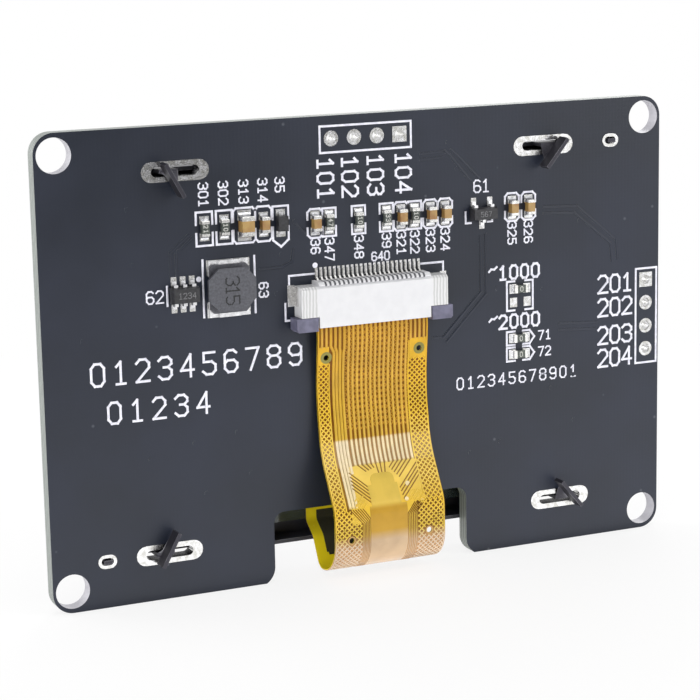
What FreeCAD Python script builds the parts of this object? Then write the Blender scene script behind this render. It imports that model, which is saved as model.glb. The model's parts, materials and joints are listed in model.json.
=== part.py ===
"""Small panel display module: a display glass under a folded steel bezel on a circuit board.

X runs to the right as the display is read, Y from the display back through the board, Z up.
The origin is the middle of the four mounting holes on the board's front face. All in mm.
"""
import FreeCAD, Part
import math
import os

V = FreeCAD.Vector

# Circuit board
board_width = 69.5
board_height = 47.6
board_thickness = 1.6
board_corner_radius = 2.1
mount_spacing_x = 65.4
mount_spacing_z = 43.2
mount_hole_diameter = 3.5
notch_width = 22.1
notch_top_z = -16.4
notch_corner_radius = 1.2
notch_lip_width = 0.95
notch_lip_height = 1.6
pad_thickness = 0.04
plating_wall = 0.05
ring_flats = 16

# Rows of plated pin holes
pin_pitch = 2.54
pin_count = 4
pin_hole_diameter = 1.0
pin_pad_diameter = 1.6
top_row_inset = 2.3
side_row_inset = 1.6
side_row_z = 0.16

# Plated slots and locating holes for the bezel
slot_length = 5.0
slot_width = 1.0
slot_end_land = 1.03
slot_side_land = 0.52
top_slot_inset = 10.45
top_slot_z = 19.35
bottom_slot_inset = 8.52
bottom_slot_z = -19.05
locating_length = 1.3
locating_width = 0.75
locating_land = 0.33
locating_top_inset = 2.3
locating_bottom_inset = 1.95

# Bezel of folded sheet
sheet = 0.4
bezel_width = 61.9
bezel_bend_radius = 0.8
bezel_bump_half = 17.35
bezel_bump_depth = 1.0
bezel_bump_run = 3.0
bezel_seam = 0.12
window_side_margin = 2.45
window_top_margin = 2.12
window_bottom_margin = 7.28
tab_neck_width = 1.9
tab_head_width = 3.8
tab_height = 2.0
tab_turn_height = 0.4
tab_twist_left = 50.0
tab_twist_right = 61.0
tab_set_in = 0.75
tab_steps = 6
top_tab_shift = 0.7
bottom_tab_shift = 0.47
peg_clearance = 0.2
peg_height = 0.35

# Display glass and its layers
glass_side_gap = 0.3
glass_end_gap = 0.5
ledge_height = 3.5
front_glass_thickness = 1.0
rear_glass_thickness = 0.9
layer_thickness = 0.1
polarizer_thickness = 0.2
polarizer_margin = 0.9
seal_width = 1.6
active_margin = 0.5
tape_thickness = 0.4
tape_margin = 2.0

# Flex connector
contact_pitch = 0.5
contact_count = 24
contact_width = 0.2
contact_thickness = 0.15
contact_slot_width = 0.28
contact_slot_height = 0.62
tail_length = 1.0
beam_tip = 0.3
housing_end_width = 1.95
housing_height = 1.9
housing_length = 3.1
housing_back_z = 6.9
housing_step = 0.4
housing_chamfer = 0.25
roof_reach = 1.15
floor_thickness = 0.3
roof_thickness = 0.3
mouth_gap = 0.1
back_wall = 0.5
pocket_back_wall = 1.3
pocket_side_wall = 0.35
slider_overhang = 0.55
slider_ear_length = 1.45
slider_ear_lift = 0.15
slider_ear_chamfer = 0.2
slider_clearance = 0.05
slider_travel = 0.4
slider_tongue_reach = 0.6
hold_down_length = 1.9
hold_down_foot = 0.6
hold_down_height = 1.1
hold_down_inset = 0.05
contact_pad_width = 0.3
contact_pad_length = 1.15
contact_pad_toe = 0.25
hold_down_pad_margin = 0.15

# Flex cable, with its turns named from the connector round to the glass
flex_edge = 0.5
flex_thickness = 0.12
flex_end_gap = 0.5
flex_in_height = 1.06
flex_drop_z = 1.2
flex_sag_height = 0.42
flex_sag_z = -4.2
flex_rise_height = 1.28
flex_rise_z = -10.6
flex_loop_height = 4.45
flex_loop_z = -16.1
flex_loop_drop = 3.35
flex_return_height = 0.35
flex_return_drop = 3.5
flex_pass_depth = 1.2
flex_pass_drop = 0.55
flex_lip = 0.2
flex_bond_length = 1.65
flex_bend_radii = [16.0, 20.0, 9.0, 3.2, 3.3, 1.2, 1.6, 0.7]
flex_hole_diameter = 0.6
flex_hole_inset = 1.0
flex_hole_z = -0.65
flex_low_hole_inset = 1.85
flex_low_hole_drop = 2.9
stiffener_thickness = 0.18
chip_on_film_width = 8.6
chip_on_film_length = 1.6
chip_on_film_thickness = 0.4
chip_on_film_share = 0.48

# Chip parts
chip_length = 1.6
chip_width = 0.8
chip_terminal = 0.32
chip_terminal_wrap = 0.02
chip_terminal_chamfer = 0.05
resistor_height = 0.45
capacitor_height = 0.8
large_length = 2.0
large_width = 1.3
large_height = 1.2
large_terminal = 0.45
resistor_places = [(17.65, 13.45), (15.55, 13.45), (4.2, 13.1), (0.93, 13.05), (-2.2, 13.05), (-5.4, 13.05)]
capacitor_places = [(11.35, 13.4), (5.75, 13.1), (-3.85, 13.05), (-7.2, 13.05), (-8.9, 13.05),
                    (-16.75, 13.0), (-18.7, 13.0)]
large_capacitor_place = (13.4, 13.45)
link_places = [(-17.65, 4.35), (-17.55, -0.95), (-17.55, -2.67)]
empty_place = (-17.7, 2.9)
chip_pad_length = 0.85
chip_pad_side = 0.1
chip_pad_toe = 0.445
large_pad_length = 1.0
large_pad_side = 0.075
large_pad_toe = 0.55
solder_reach = 0.3
solder_share = 0.6

# Diode
diode_place = (9.5, 13.4)
diode_length = 1.5
diode_width = 1.05
diode_height = 0.95
diode_chamfer = 0.12
diode_lead_width = 0.4
diode_lead_reach = 0.35
diode_pad_width = 1.0
diode_pad_toe = 0.65

# Six lead and three lead packages
converter_place = (20.1, 7.1)
regulator_place = (-13.17, 12.7)
package_length = 2.9
package_draw = 0.12
converter_width = 1.6
converter_height = 1.1
regulator_width = 1.3
regulator_height = 1.0
package_standoff = 0.1
lead_pitch = 0.95
lead_width = 0.4
lead_thickness = 0.15
lead_reach = 0.6
lead_knee = 0.28
lead_pad_width = 0.6
lead_pad_length = 1.0
lead_pad_toe = 0.4

# Inductor
inductor_place = (15.3, 7.36)
inductor_base_x = 4.2
inductor_base_z = 4.9
inductor_top_x = 5.05
inductor_top_z = 4.25
inductor_flange = 0.32
inductor_height = 1.2
inductor_post_radius = 1.25
inductor_winding_radius = 1.85
inductor_cut = 1.1
inductor_base_cut = 0.4
terminal_reach = 0.42
terminal_inside = 1.2
terminal_thickness = 0.15
terminal_upright = 0.35
terminal_upright_width = 2.3
inductor_pad_length = 1.6
inductor_pad_side = 0.2
inductor_pad_inset = 0.35

# Places that follow from the values above
rear = board_thickness
tape_y = -tape_thickness
rear_glass_y = tape_y - rear_glass_thickness
layer_y = rear_glass_y - layer_thickness
front_glass_y = layer_y - front_glass_thickness
polarizer_y = front_glass_y - polarizer_thickness
bezel_front_y = polarizer_y - sheet
bezel_top_z = top_slot_z + sheet / 2
bezel_bottom_z = bottom_slot_z - sheet / 2
window_width = bezel_width - 2 * window_side_margin
window_top_z = bezel_top_z - window_top_margin
window_bottom_z = bezel_bottom_z + window_bottom_margin
top_slot_x = bezel_width / 2 - top_slot_inset
bottom_slot_x = bezel_width / 2 - bottom_slot_inset
glass_width = bezel_width - 2 * (sheet + glass_side_gap)
glass_top_z = bezel_top_z - sheet - glass_end_gap
glass_bottom_z = bezel_bottom_z + sheet + glass_end_gap
rear_glass_bottom_z = glass_bottom_z + ledge_height
flex_width = (contact_count - 1) * contact_pitch + 2 * flex_edge
housing_width = flex_width + 2 * housing_end_width
housing_front_z = housing_back_z - housing_length
roof_front_z = housing_front_z - roof_reach
mouth_height = housing_height - roof_thickness
mouth_half = flex_width / 2 + mouth_gap
pocket_half = housing_width / 2 - pocket_side_wall
pocket_back_z = housing_back_z - pocket_back_wall
flex_end_z = housing_back_z - back_wall - flex_end_gap


def block(x0, x1, y0, y1, z0, z1):
    return Part.makeBox(x1 - x0, y1 - y0, z1 - z0, V(x0, y0, z0))


def block_at(place, size_x, size_z, y0, y1):
    x, z = place
    return block(x - size_x / 2, x + size_x / 2, y0, y1, z - size_z / 2, z + size_z / 2)


def disc(x, z, radius, y0, y1):
    return Part.makeCylinder(radius, y1 - y0, V(x, y0, z), V(0, 1, 0))


def prism(points, y0, y1):
    corners = [V(x, y0, z) for x, z in points]
    wire = Part.makePolygon(corners + corners[:1])
    return Part.Face(wire).extrude(V(0, y1 - y0, 0))


def side_prism(points, x0, x1):
    corners = [V(x0, y, z) for y, z in points]
    wire = Part.makePolygon(corners + corners[:1])
    return Part.Face(wire).extrude(V(x1 - x0, 0, 0))


def ring(x, z, radius, y0, y1):
    """Round outline of a plated ring, drawn with flats because it repeats."""
    turns = [2 * math.pi * i / ring_flats for i in range(ring_flats)]
    return prism([(x + radius * math.cos(a), z + radius * math.sin(a)) for a in turns], y0, y1)


def obround(x, z, length, width, y0, y1):
    """Slot outline, each round end drawn with half of the ring's flats."""
    radius = width / 2
    reach = length / 2 - radius
    half = ring_flats // 2
    points = []
    for side in (1, -1):
        for i in range(half + 1):
            turn = math.pi * (i / half - 0.5)
            points.append((x + side * (reach + radius * math.cos(turn)), z + side * radius * math.sin(turn)))
    return prism(points, y0, y1)


def along_y(shape):
    return [e for e in shape.Edges if abs(abs(e.tangentAt(e.FirstParameter).y) - 1) < 1e-6]


def octagon(place, size_x, size_z, cut, y0, y1):
    body = block_at(place, size_x, size_z, y0, y1)
    return body.makeChamfer(cut, along_y(body))


def between(a, b, y0, y1, z0, z1):
    """A block whose x limits come in either order."""
    return block(min(a, b), max(a, b), y0, y1, z0, z1)


def pin_places():
    half = (pin_count - 1) / 2
    top_z = board_height / 2 - top_row_inset
    side_x = side_row_inset - board_width / 2
    top = [((i - half) * pin_pitch, top_z) for i in range(pin_count)]
    side = [(side_x, side_row_z - (i - half) * pin_pitch) for i in range(pin_count)]
    return top, side


def slot_places():
    return [(-top_slot_x, top_slot_z), (top_slot_x, top_slot_z),
            (-bottom_slot_x, bottom_slot_z), (bottom_slot_x, bottom_slot_z)]


def locating_places():
    half = bezel_width / 2
    return [(locating_top_inset - half, top_slot_z), (half - locating_bottom_inset, bottom_slot_z)]


def mount_places():
    return [(sx * mount_spacing_x / 2, sz * mount_spacing_z / 2) for sx in (-1, 1) for sz in (-1, 1)]


def notch():
    half = notch_width / 2
    low = -board_height / 2
    lip = low + notch_lip_height
    body = block(-half, half, -1, rear + 1, low - 1, notch_top_z)
    top_edges = [e for e in along_y(body) if e.CenterOfMass.z > notch_top_z - 0.1]
    body = body.makeFillet(notch_corner_radius, top_edges)
    for side in (-1, 1):
        edge = V(side * half, -1, lip)
        middle = V(side * (half + 0.3 * notch_lip_width), -1, low + 0.42 * notch_lip_height)
        foot = V(side * (half + notch_lip_width), -1, low)
        curve = Part.Arc(edge, middle, foot).toShape()
        below = V(side * half, -1, low - 1)
        outer = V(side * (half + notch_lip_width), -1, low - 1)
        rest = Part.makePolygon([foot, outer, below, edge])
        flare = Part.Face(Part.Wire([curve] + rest.Edges)).extrude(V(0, rear + 2, 0))
        body = body.fuse(flare)
    return body.removeSplitter()


def circuit_board():
    body = block_at((0, 0), board_width, board_height, 0, rear)
    body = body.makeFillet(board_corner_radius, along_y(body))
    cuts = [notch()]
    for x, z in mount_places():
        cuts.append(disc(x, z, mount_hole_diameter / 2, -1, rear + 1))
    for row in pin_places():
        for x, z in row:
            cuts.append(ring(x, z, pin_hole_diameter / 2 + plating_wall, -1, rear + 1))
    grow = 2 * plating_wall
    for x, z in slot_places():
        cuts.append(obround(x, z, slot_length + grow, slot_width + grow, -1, rear + 1))
    for x, z in locating_places():
        cuts.append(obround(x, z, locating_length + grow, locating_width + grow, -1, rear + 1))
    return body.cut(Part.makeCompound(cuts))


def plated_pin_hole(x, z, square):
    barrel = ring(x, z, pin_hole_diameter / 2 + plating_wall, -pad_thickness, rear + pad_thickness)
    for y0, y1 in ((-pad_thickness, 0), (rear, rear + pad_thickness)):
        land = ring(x, z, pin_pad_diameter / 2, y0, y1)
        if square:
            land = block_at((x, z), pin_pad_diameter, pin_pad_diameter, y0, y1)
        barrel = barrel.fuse(land)
    hole = disc(x, z, pin_hole_diameter / 2, -1, rear + 1)
    return barrel.cut(hole).removeSplitter()


def pin_hole_row(row):
    return Part.makeCompound([plated_pin_hole(x, z, i == 0) for i, (x, z) in enumerate(row)])


def plated_obround(x, z, length, width, end_land, side_land):
    body = obround(x, z, length + 2 * plating_wall, width + 2 * plating_wall,
                   -pad_thickness, rear + pad_thickness)
    for y0, y1 in ((-pad_thickness, 0), (rear, rear + pad_thickness)):
        body = body.fuse(obround(x, z, length + 2 * end_land, width + 2 * side_land, y0, y1))
    return body.cut(obround(x, z, length, width, -1, rear + 1)).removeSplitter()


def slot_plating():
    rings = [plated_obround(x, z, slot_length, slot_width, slot_end_land, slot_side_land)
             for x, z in slot_places()]
    return Part.makeCompound(rings)


def locating_hole_plating():
    rings = [plated_obround(x, z, locating_length, locating_width, locating_land, locating_land)
             for x, z in locating_places()]
    return Part.makeCompound(rings)


def bezel_outline(inset):
    half = bezel_width / 2 - inset
    top = bezel_top_z - inset
    low = bezel_bottom_z + inset
    drop = low - bezel_bump_depth
    bump = bezel_bump_half - 0.35 * inset
    run = bezel_bump_run / 2
    quarter_x = run / 2
    quarter_z = bezel_bump_depth / 2
    sag = quarter_x * quarter_z / run * 0.5
    edges = []
    for side in (-1, 1):
        outer = V(side * (bump + run), 0, low)
        middle = V(side * bump, 0, (low + drop) / 2)
        inner = V(side * (bump - run), 0, drop)
        near_outer = V(side * (bump + run / 2), 0, low - sag)
        near_inner = V(side * (bump - run / 2), 0, drop + sag)
        edges.append(Part.Arc(outer, near_outer, middle).toShape())
        edges.append(Part.Arc(middle, near_inner, inner).toShape())
    left, right = bump + run, bump - run
    rest = [(V(-half, 0, low), V(-left, 0, low)), (V(-right, 0, drop), V(right, 0, drop)),
            (V(left, 0, low), V(half, 0, low)), (V(half, 0, low), V(half, 0, top)),
            (V(half, 0, top), V(-half, 0, top)), (V(-half, 0, top), V(-half, 0, low))]
    edges += [Part.makeLine(a, b) for a, b in rest]
    return Part.Face(Part.Wire(Part.__sortEdges__(edges)))


def bezel_block(inset, front_y, bend):
    back_y = -pad_thickness if inset == 0 else 1.0
    face = bezel_outline(inset)
    face.translate(V(0, front_y, 0))
    body = face.extrude(V(0, back_y - front_y, 0))
    rim = [e for e in body.Edges if e.BoundBox.YMax < front_y + 1e-6]
    return body.makeFillet(bend, rim)


def tab_section(place, width, share):
    """Corners of a tab partway through its turn, which also sets it in toward the board's middle."""
    x, z, turn = place
    angle = math.radians(turn * share)
    middle = V(x, rear + tab_turn_height * share, z - math.copysign(tab_set_in * share, z))
    run = V(math.cos(angle), 0, math.sin(angle)) * (width / 2)
    across = V(-math.sin(angle), 0, math.cos(angle)) * (sheet / 2)
    return [middle - run - across, middle + run - across, middle + run + across, middle - run + across]


def polygon_face(corners):
    return Part.Face(Part.makePolygon(corners + corners[:1]))


def stepped_solid(sections):
    """Solid through matching outlines, each side of a step in two flat triangles."""
    faces = [polygon_face(sections[0]), polygon_face(sections[-1])]
    for low, high in zip(sections, sections[1:]):
        for i in range(len(low)):
            j = (i + 1) % len(low)
            faces.append(polygon_face([low[i], low[j], high[j]]))
            faces.append(polygon_face([low[i], high[j], high[i]]))
    return Part.Solid(Part.Shell(faces))


def twist_tab(x, z, turn):
    """Neck through the slot, the part of it that turns, and the wider head in its turned direction."""
    neck = block_at((x, z), tab_neck_width, sheet, bezel_front_y / 2, rear)
    place = (x, z, turn)
    bent = stepped_solid([tab_section(place, tab_neck_width, i / tab_steps) for i in range(tab_steps + 1)])
    foot = polygon_face(tab_section(place, tab_head_width, 1))
    head = foot.extrude(V(0, tab_height - tab_turn_height, 0))
    return neck.fuse([bent, head])


def window_block(margin, y0, y1):
    """The display window, grown on each side by a margin."""
    half = window_width / 2 + margin
    return block(-half, half, y0, y1, window_bottom_z - margin, window_top_z + margin)


def bezel():
    body = bezel_block(0, bezel_front_y, bezel_bend_radius)
    body = body.cut(bezel_block(sheet, bezel_front_y + sheet, bezel_bend_radius - sheet))
    body = body.cut(window_block(0, bezel_front_y - 1, 0))
    half = bezel_width / 2
    for sx in (-1, 1):
        for z, sz in ((bezel_top_z, 1), (bezel_bottom_z, -1)):
            slit = block(-1, 1, bezel_front_y + bezel_bend_radius, 1, -bezel_seam / 2, bezel_seam / 2)
            slit.rotate(V(0, 0, 0), V(0, 1, 0), -45 * sx * sz)
            slit.translate(V(sx * half, 0, z))
            body = body.cut(slit)
    tabs = []
    for sx, turn in ((-1, -tab_twist_left), (1, tab_twist_right)):
        tabs.append(twist_tab(sx * (top_slot_x + top_tab_shift), top_slot_z, turn))
        tabs.append(twist_tab(sx * (bottom_slot_x + bottom_tab_shift), bottom_slot_z, -turn))
    peg_width = locating_length - 2 * peg_clearance
    for place in locating_places():
        tabs.append(block_at(place, peg_width, sheet, bezel_front_y / 2, rear + peg_height))
    return body.fuse(tabs).removeSplitter()


def polarizer():
    return window_block(polarizer_margin, polarizer_y, front_glass_y)


def glass_block(y0, y1, bottom_z, inset):
    half = glass_width / 2 - inset
    return block(-half, half, y0, y1, bottom_z + inset, glass_top_z - inset)


def front_glass():
    return glass_block(front_glass_y, layer_y, glass_bottom_z, 0)


def edge_seal():
    hole = glass_block(bezel_front_y, 0, rear_glass_bottom_z, seal_width)
    return glass_block(layer_y, rear_glass_y, rear_glass_bottom_z, 0).cut(hole)


def organic_layer():
    return window_block(-active_margin, layer_y, rear_glass_y)


def rear_cover_glass():
    return glass_block(rear_glass_y, tape_y, rear_glass_bottom_z, 0)


def foam_tape():
    return glass_block(tape_y, 0, rear_glass_bottom_z, tape_margin)


def flex_corners():
    """Corners (y, z) of the cable's middle line from the connector round to the glass."""
    ledge_y = layer_y + flex_thickness / 2
    lip_z = glass_bottom_z - flex_lip
    return [(rear + flex_in_height, flex_end_z), (rear + flex_in_height, flex_drop_z),
            (rear + flex_sag_height, flex_sag_z), (rear + flex_rise_height, flex_rise_z),
            (rear + flex_loop_height, flex_loop_z),
            (rear + flex_loop_height, bezel_bottom_z - flex_loop_drop),
            (rear + flex_return_height, bezel_bottom_z - flex_return_drop),
            (rear - flex_pass_depth, bezel_bottom_z - flex_pass_drop),
            (ledge_y, lip_z), (ledge_y, lip_z + flex_bond_length)]


def offset_corner(points, i, shift):
    """Corner i of a chain of points moved sideways by shift, with the turn's sign."""
    here = V(0, points[i][0], points[i][1])
    ways = []
    if i > 0:
        ways.append((here - V(0, points[i - 1][0], points[i - 1][1])).normalize())
    if i < len(points) - 1:
        ways.append((V(0, points[i + 1][0], points[i + 1][1]) - here).normalize())
    sides = [V(0, -w.z, w.y) for w in ways]
    if len(sides) == 1:
        return here + sides[0] * shift, 0
    both = sides[0] + sides[1]
    moved = here + both * (2 * shift / both.dot(both))
    turn = ways[0].y * ways[1].z - ways[0].z * ways[1].y
    return moved, (1 if turn > 0 else -1)


def rounded_chain(points, radii, shift):
    """Edges of the chain moved sideways by shift, each corner rounded about the same centre."""
    corners = [offset_corner(points, i, shift) for i in range(len(points))]
    edges = []
    start = corners[0][0]
    for i in range(1, len(points) - 1):
        corner, turn = corners[i]
        radius = radii[i - 1] - turn * shift
        back = (corners[i - 1][0] - corner).normalize()
        ahead = (corners[i + 1][0] - corner).normalize()
        half_angle = back.getAngle(ahead) / 2
        reach = radius / math.tan(half_angle)
        first = corner + back * reach
        last = corner + ahead * reach
        inward = (back + ahead).normalize()
        centre = corner + inward * (radius / math.sin(half_angle))
        middle = centre - inward * radius
        edges.append(Part.makeLine(start, first))
        edges.append(Part.Arc(first, middle, last).toShape())
        start = last
    edges.append(Part.makeLine(start, corners[-1][0]))
    return edges, corners[0][0], corners[-1][0]


def flex_cable():
    route = flex_corners()
    inner, inner_start, inner_end = rounded_chain(route, flex_bend_radii, -flex_thickness / 2)
    outer, outer_start, outer_end = rounded_chain(route, flex_bend_radii, flex_thickness / 2)
    caps = [Part.makeLine(inner_start, outer_start), Part.makeLine(inner_end, outer_end)]
    face = Part.Face(Part.Wire(Part.__sortEdges__(inner + outer + caps)))
    face.translate(V(-flex_width / 2, 0, 0))
    body = face.extrude(V(flex_width, 0, 0))
    radius = flex_hole_diameter / 2
    loop_y = rear + flex_loop_height
    low_z = flex_loop_z - flex_low_hole_drop
    holes = []
    for side in (-1, 1):
        high_x = side * (flex_width / 2 - flex_hole_inset)
        low_x = side * (flex_width / 2 - flex_low_hole_inset)
        holes.append(disc(high_x, flex_hole_z, radius, rear, loop_y))
        holes.append(disc(low_x, low_z, radius, loop_y - 1, loop_y + 1))
    return body.cut(Part.makeCompound(holes))


def flex_stiffener():
    y0 = rear + flex_in_height + flex_thickness / 2
    return block(-flex_width / 2, flex_width / 2, y0, y0 + stiffener_thickness, roof_front_z, flex_end_z)


def driver_chip():
    corners = flex_corners()
    a, b = corners[3], corners[4]
    start, end = V(0, a[0], a[1]), V(0, b[0], b[1])
    way = (end - start).normalize()
    inward = V(0, way.z, -way.y)
    base = start + (end - start) * chip_on_film_share + inward * (flex_thickness / 2)
    top = base + inward * chip_on_film_thickness
    reach = way * (chip_on_film_length / 2)
    half = chip_on_film_width / 2
    outline = [(c.y, c.z) for c in (base - reach, base + reach, top + reach, top - reach)]
    return side_prism(outline, -half, half)


def contact_places():
    half = (contact_count - 1) / 2
    return [(i - half) * contact_pitch for i in range(contact_count)]


def connector_contacts():
    """Solder foot behind the housing, riser in the back wall, spring beam under the cable."""
    foot = rear + pad_thickness
    cable = rear + flex_in_height - flex_thickness / 2
    low = rear + floor_thickness + slider_clearance
    t = contact_thickness
    back = housing_back_z + housing_step
    tail = back + tail_length
    front = housing_front_z
    under = [(foot, tail), (foot, back + t), (low, back - t), (low, front + t),
             (cable - 2 * t, front - beam_tip)]
    over = [(cable, front - t / 2), (cable, front + t), (low + t, front + 6 * t), (low + t, back),
            (foot + t, back + 2 * t), (foot + t, tail)]
    profile = under + over
    solids = [side_prism(profile, x - contact_width / 2, x + contact_width / 2) for x in contact_places()]
    return Part.makeCompound(solids)


def chamfer_back(body, top_y, back_z):
    top_edges = [e for e in body.Edges if e.CenterOfMass.y > top_y - 0.01]
    return body.makeChamfer(housing_chamfer, [e for e in top_edges if e.CenterOfMass.z > back_z - 0.01])


def connector_housing():
    """Walls with an open mouth, pockets for the slider's arms and a slot for each contact."""
    top = rear + housing_height
    mouth_top = rear + mouth_height
    mouth_floor = rear + floor_thickness
    half, roof_half = housing_width / 2, flex_width / 2
    step_z = housing_back_z + housing_step
    base = chamfer_back(block(-half, half, rear, top, housing_front_z, housing_back_z), top, housing_back_z)
    step = chamfer_back(block(-roof_half, roof_half, rear, top, housing_back_z, step_z), top, step_z)
    roof = block(-roof_half, roof_half, mouth_top, top, roof_front_z, housing_front_z)
    floor = block(-roof_half, roof_half, rear, mouth_floor, roof_front_z, housing_front_z)
    body = base.fuse([roof, floor, step]).removeSplitter()
    mouth_back = housing_back_z - back_wall
    cuts = [block(-mouth_half, mouth_half, mouth_floor, mouth_top, 0, mouth_back)]
    for side in (-1, 1):
        cuts.append(between(side * mouth_half, side * pocket_half, mouth_floor, mouth_top, 0, pocket_back_z))
    slot_half = contact_slot_width / 2
    for x in contact_places():
        cuts.append(block(x - slot_half, x + slot_half, rear - 1, rear + contact_slot_height,
                          mouth_back - mouth_gap, step_z + 1))
    return body.cut(Part.makeCompound(cuts))


def connector_slider():
    """Tongue over the cable's stiffener, two arms in the pockets and two ears outside."""
    c = slider_clearance
    y0 = rear + flex_in_height + flex_thickness / 2 + stiffener_thickness
    y1 = rear + mouth_height - c
    front = housing_front_z - slider_tongue_reach
    arm_back = pocket_back_z - slider_travel
    tongue = block(-flex_width / 2, flex_width / 2, y0, y1, front, arm_back)
    parts = []
    for side in (-1, 1):
        x_in, x_out = side * (mouth_half + c), side * (pocket_half - c)
        x_ear = side * (housing_width / 2 + slider_overhang)
        arm = between(x_in, x_out, rear + floor_thickness + c, y1, front, arm_back)
        link = between(side * (flex_width / 2 - mouth_gap), x_out, y0, y1, front, arm_back)
        ear_front = housing_front_z - slider_ear_length
        ear = between(x_in, x_ear, rear + slider_ear_lift, rear + housing_height,
                      ear_front, housing_front_z - c)
        outside = [e for e in ear.Edges if abs(e.CenterOfMass.x - x_ear) < 0.01]
        corner = [e for e in outside if e.CenterOfMass.z < ear_front + 0.01]
        ear = ear.makeChamfer(slider_ear_chamfer, corner)
        parts += [arm, link, ear]
    return tongue.fuse(parts).removeSplitter()


def connector_hold_downs():
    solids = []
    base = rear + pad_thickness
    z1 = housing_back_z - hold_down_inset
    z0 = z1 - hold_down_length
    wall = housing_width / 2
    for side in (-1, 1):
        t = contact_thickness
        plate = between(side * wall, side * (wall + hold_down_foot), base, base + t, z0, z1)
        upright = between(side * wall, side * (wall + t), base, rear + hold_down_height, z0, z1)
        solids.append(plate.fuse(upright).removeSplitter())
    return Part.makeCompound(solids)


def turned(shape, place, quarter):
    """A part drawn upright at the origin, set on the board's rear face at its place."""
    if quarter:
        shape.rotate(V(0, 0, 0), V(0, 1, 0), 90)
    shape.translate(V(place[0], rear, place[1]))
    return shape


def chip_body(length, width, height, terminal, place, quarter):
    z = length / 2 - terminal
    wrap = chip_terminal_wrap
    shape = block(-width / 2, width / 2, pad_thickness + wrap, pad_thickness + height - wrap, -z, z)
    return turned(shape, place, quarter)


def chip_terminals(length, width, height, terminal, place, quarter):
    solids = []
    for side in (-1, 1):
        ends = sorted((side * (length / 2 - terminal), side * length / 2))
        half = width / 2 + chip_terminal_wrap
        cap = block(-half, half, pad_thickness, pad_thickness + height, ends[0], ends[1])
        far = [e for e in cap.Edges if abs(e.CenterOfMass.z - side * length / 2) < 0.01]
        solids.append(turned(cap.makeChamfer(chip_terminal_chamfer, far), place, quarter))
    return solids


def end_pads(pad_length, pad_width, toe_z, place, quarter):
    """Two pads whose outer ends lie at toe_z from the part's middle."""
    solids = []
    for side in (-1, 1):
        z0, z1 = sorted((side * (toe_z - pad_length), side * toe_z))
        pad = block(-pad_width / 2, pad_width / 2, 0, pad_thickness, z0, z1)
        solids.append(turned(pad, place, quarter))
    return solids


def chip_pads(place, quarter):
    width = chip_width + 2 * chip_pad_side
    return end_pads(chip_pad_length, width, chip_length / 2 + chip_pad_toe, place, quarter)


def solder_wedge(width, height, z_wall, side):
    """Concave solder between a pad and an upright end face."""
    steps = [(0, 1), (0.12, 0.55), (0.35, 0.25), (1, 0)]
    x = -width / 2
    points = [V(x, pad_thickness, side * z_wall)]
    points += [V(x, pad_thickness + up * height, side * (z_wall + out * solder_reach)) for out, up in steps]
    face = Part.Face(Part.makePolygon(points + points[:1]))
    return face.extrude(V(width, 0, 0))


def chip_solder(length, width, height, place, quarter):
    return [turned(solder_wedge(width, height * solder_share, length / 2, side), place, quarter)
            for side in (-1, 1)]


def gull_lead(x, side, body_half, height):
    """Lead from the middle of a package side down to its pad."""
    mid = package_standoff + height / 2
    t = lead_thickness
    wall = body_half
    knee = wall + lead_knee
    toe = wall + lead_reach
    base = pad_thickness
    profile = [(mid + t / 2, wall), (mid + t / 2, knee), (base + t, knee), (base + t, toe),
               (base, toe), (base, knee - t), (mid - t / 2, knee - t), (mid - t / 2, wall)]
    points = [(y, side * z) for y, z in profile]
    return side_prism(points, x - lead_width / 2, x + lead_width / 2)


def package_body(width, height):
    """Moulded body, its upper half drawn in to the top."""
    mid = package_standoff + height / 2
    half_x, half_z = package_length / 2, width / 2
    lower = block(-half_x, half_x, package_standoff, mid, -half_z, half_z)
    wires = []
    for y, inset in ((mid, 0), (package_standoff + height, package_draw)):
        corners = [V(sx * (half_x - inset), y, sz * (half_z - inset))
                   for sx, sz in ((-1, -1), (1, -1), (1, 1), (-1, 1))]
        wires.append(Part.makePolygon(corners + corners[:1]))
    upper = Part.makeLoft(wires, True, True)
    return lower.fuse(upper)


def package(place, width, height, upper_xs, lower_xs):
    body = turned(package_body(width, height), place, False)
    leads = [gull_lead(x, 1, width / 2, height) for x in upper_xs]
    leads += [gull_lead(x, -1, width / 2, height) for x in lower_xs]
    return body, Part.makeCompound([turned(lead, place, False) for lead in leads])


def converter():
    xs = [-lead_pitch, 0, lead_pitch]
    return package(converter_place, converter_width, converter_height, xs, xs)


def regulator():
    return package(regulator_place, regulator_width, regulator_height, [-lead_pitch, lead_pitch], [0])


def package_pads(place, width, upper_xs, lower_xs):
    solids = []
    toe = width / 2 + lead_reach + lead_pad_toe
    for side, xs in ((1, upper_xs), (-1, lower_xs)):
        z0, z1 = sorted((side * (toe - lead_pad_length), side * toe))
        for x in xs:
            pad = block(x - lead_pad_width / 2, x + lead_pad_width / 2, 0, pad_thickness, z0, z1)
            solids.append(turned(pad, place, False))
    return solids


def diode_body():
    half_x, half_z = diode_width / 2, diode_length / 2
    top = pad_thickness + diode_height
    shape = block(-half_x, half_x, pad_thickness, top, -half_z, half_z)
    shape = shape.makeChamfer(diode_chamfer, [e for e in shape.Edges if abs(e.CenterOfMass.y - top) < 0.01])
    return turned(shape, diode_place, False)


def diode_leads():
    solids = []
    half = diode_lead_width / 2
    for side in (-1, 1):
        z0, z1 = sorted((side * diode_length / 2, side * (diode_length / 2 + diode_lead_reach)))
        foot = block(-half, half, pad_thickness, pad_thickness + lead_thickness, z0, z1)
        solids.append(turned(foot, diode_place, False))
    return Part.makeCompound(solids)


def inductor_levels():
    """Heights of the base's underside, the base's top, the top flange's underside and its top."""
    base = rear + pad_thickness + terminal_thickness
    top = rear + pad_thickness + inductor_height
    return base, base + inductor_flange, top - inductor_flange, top


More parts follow.
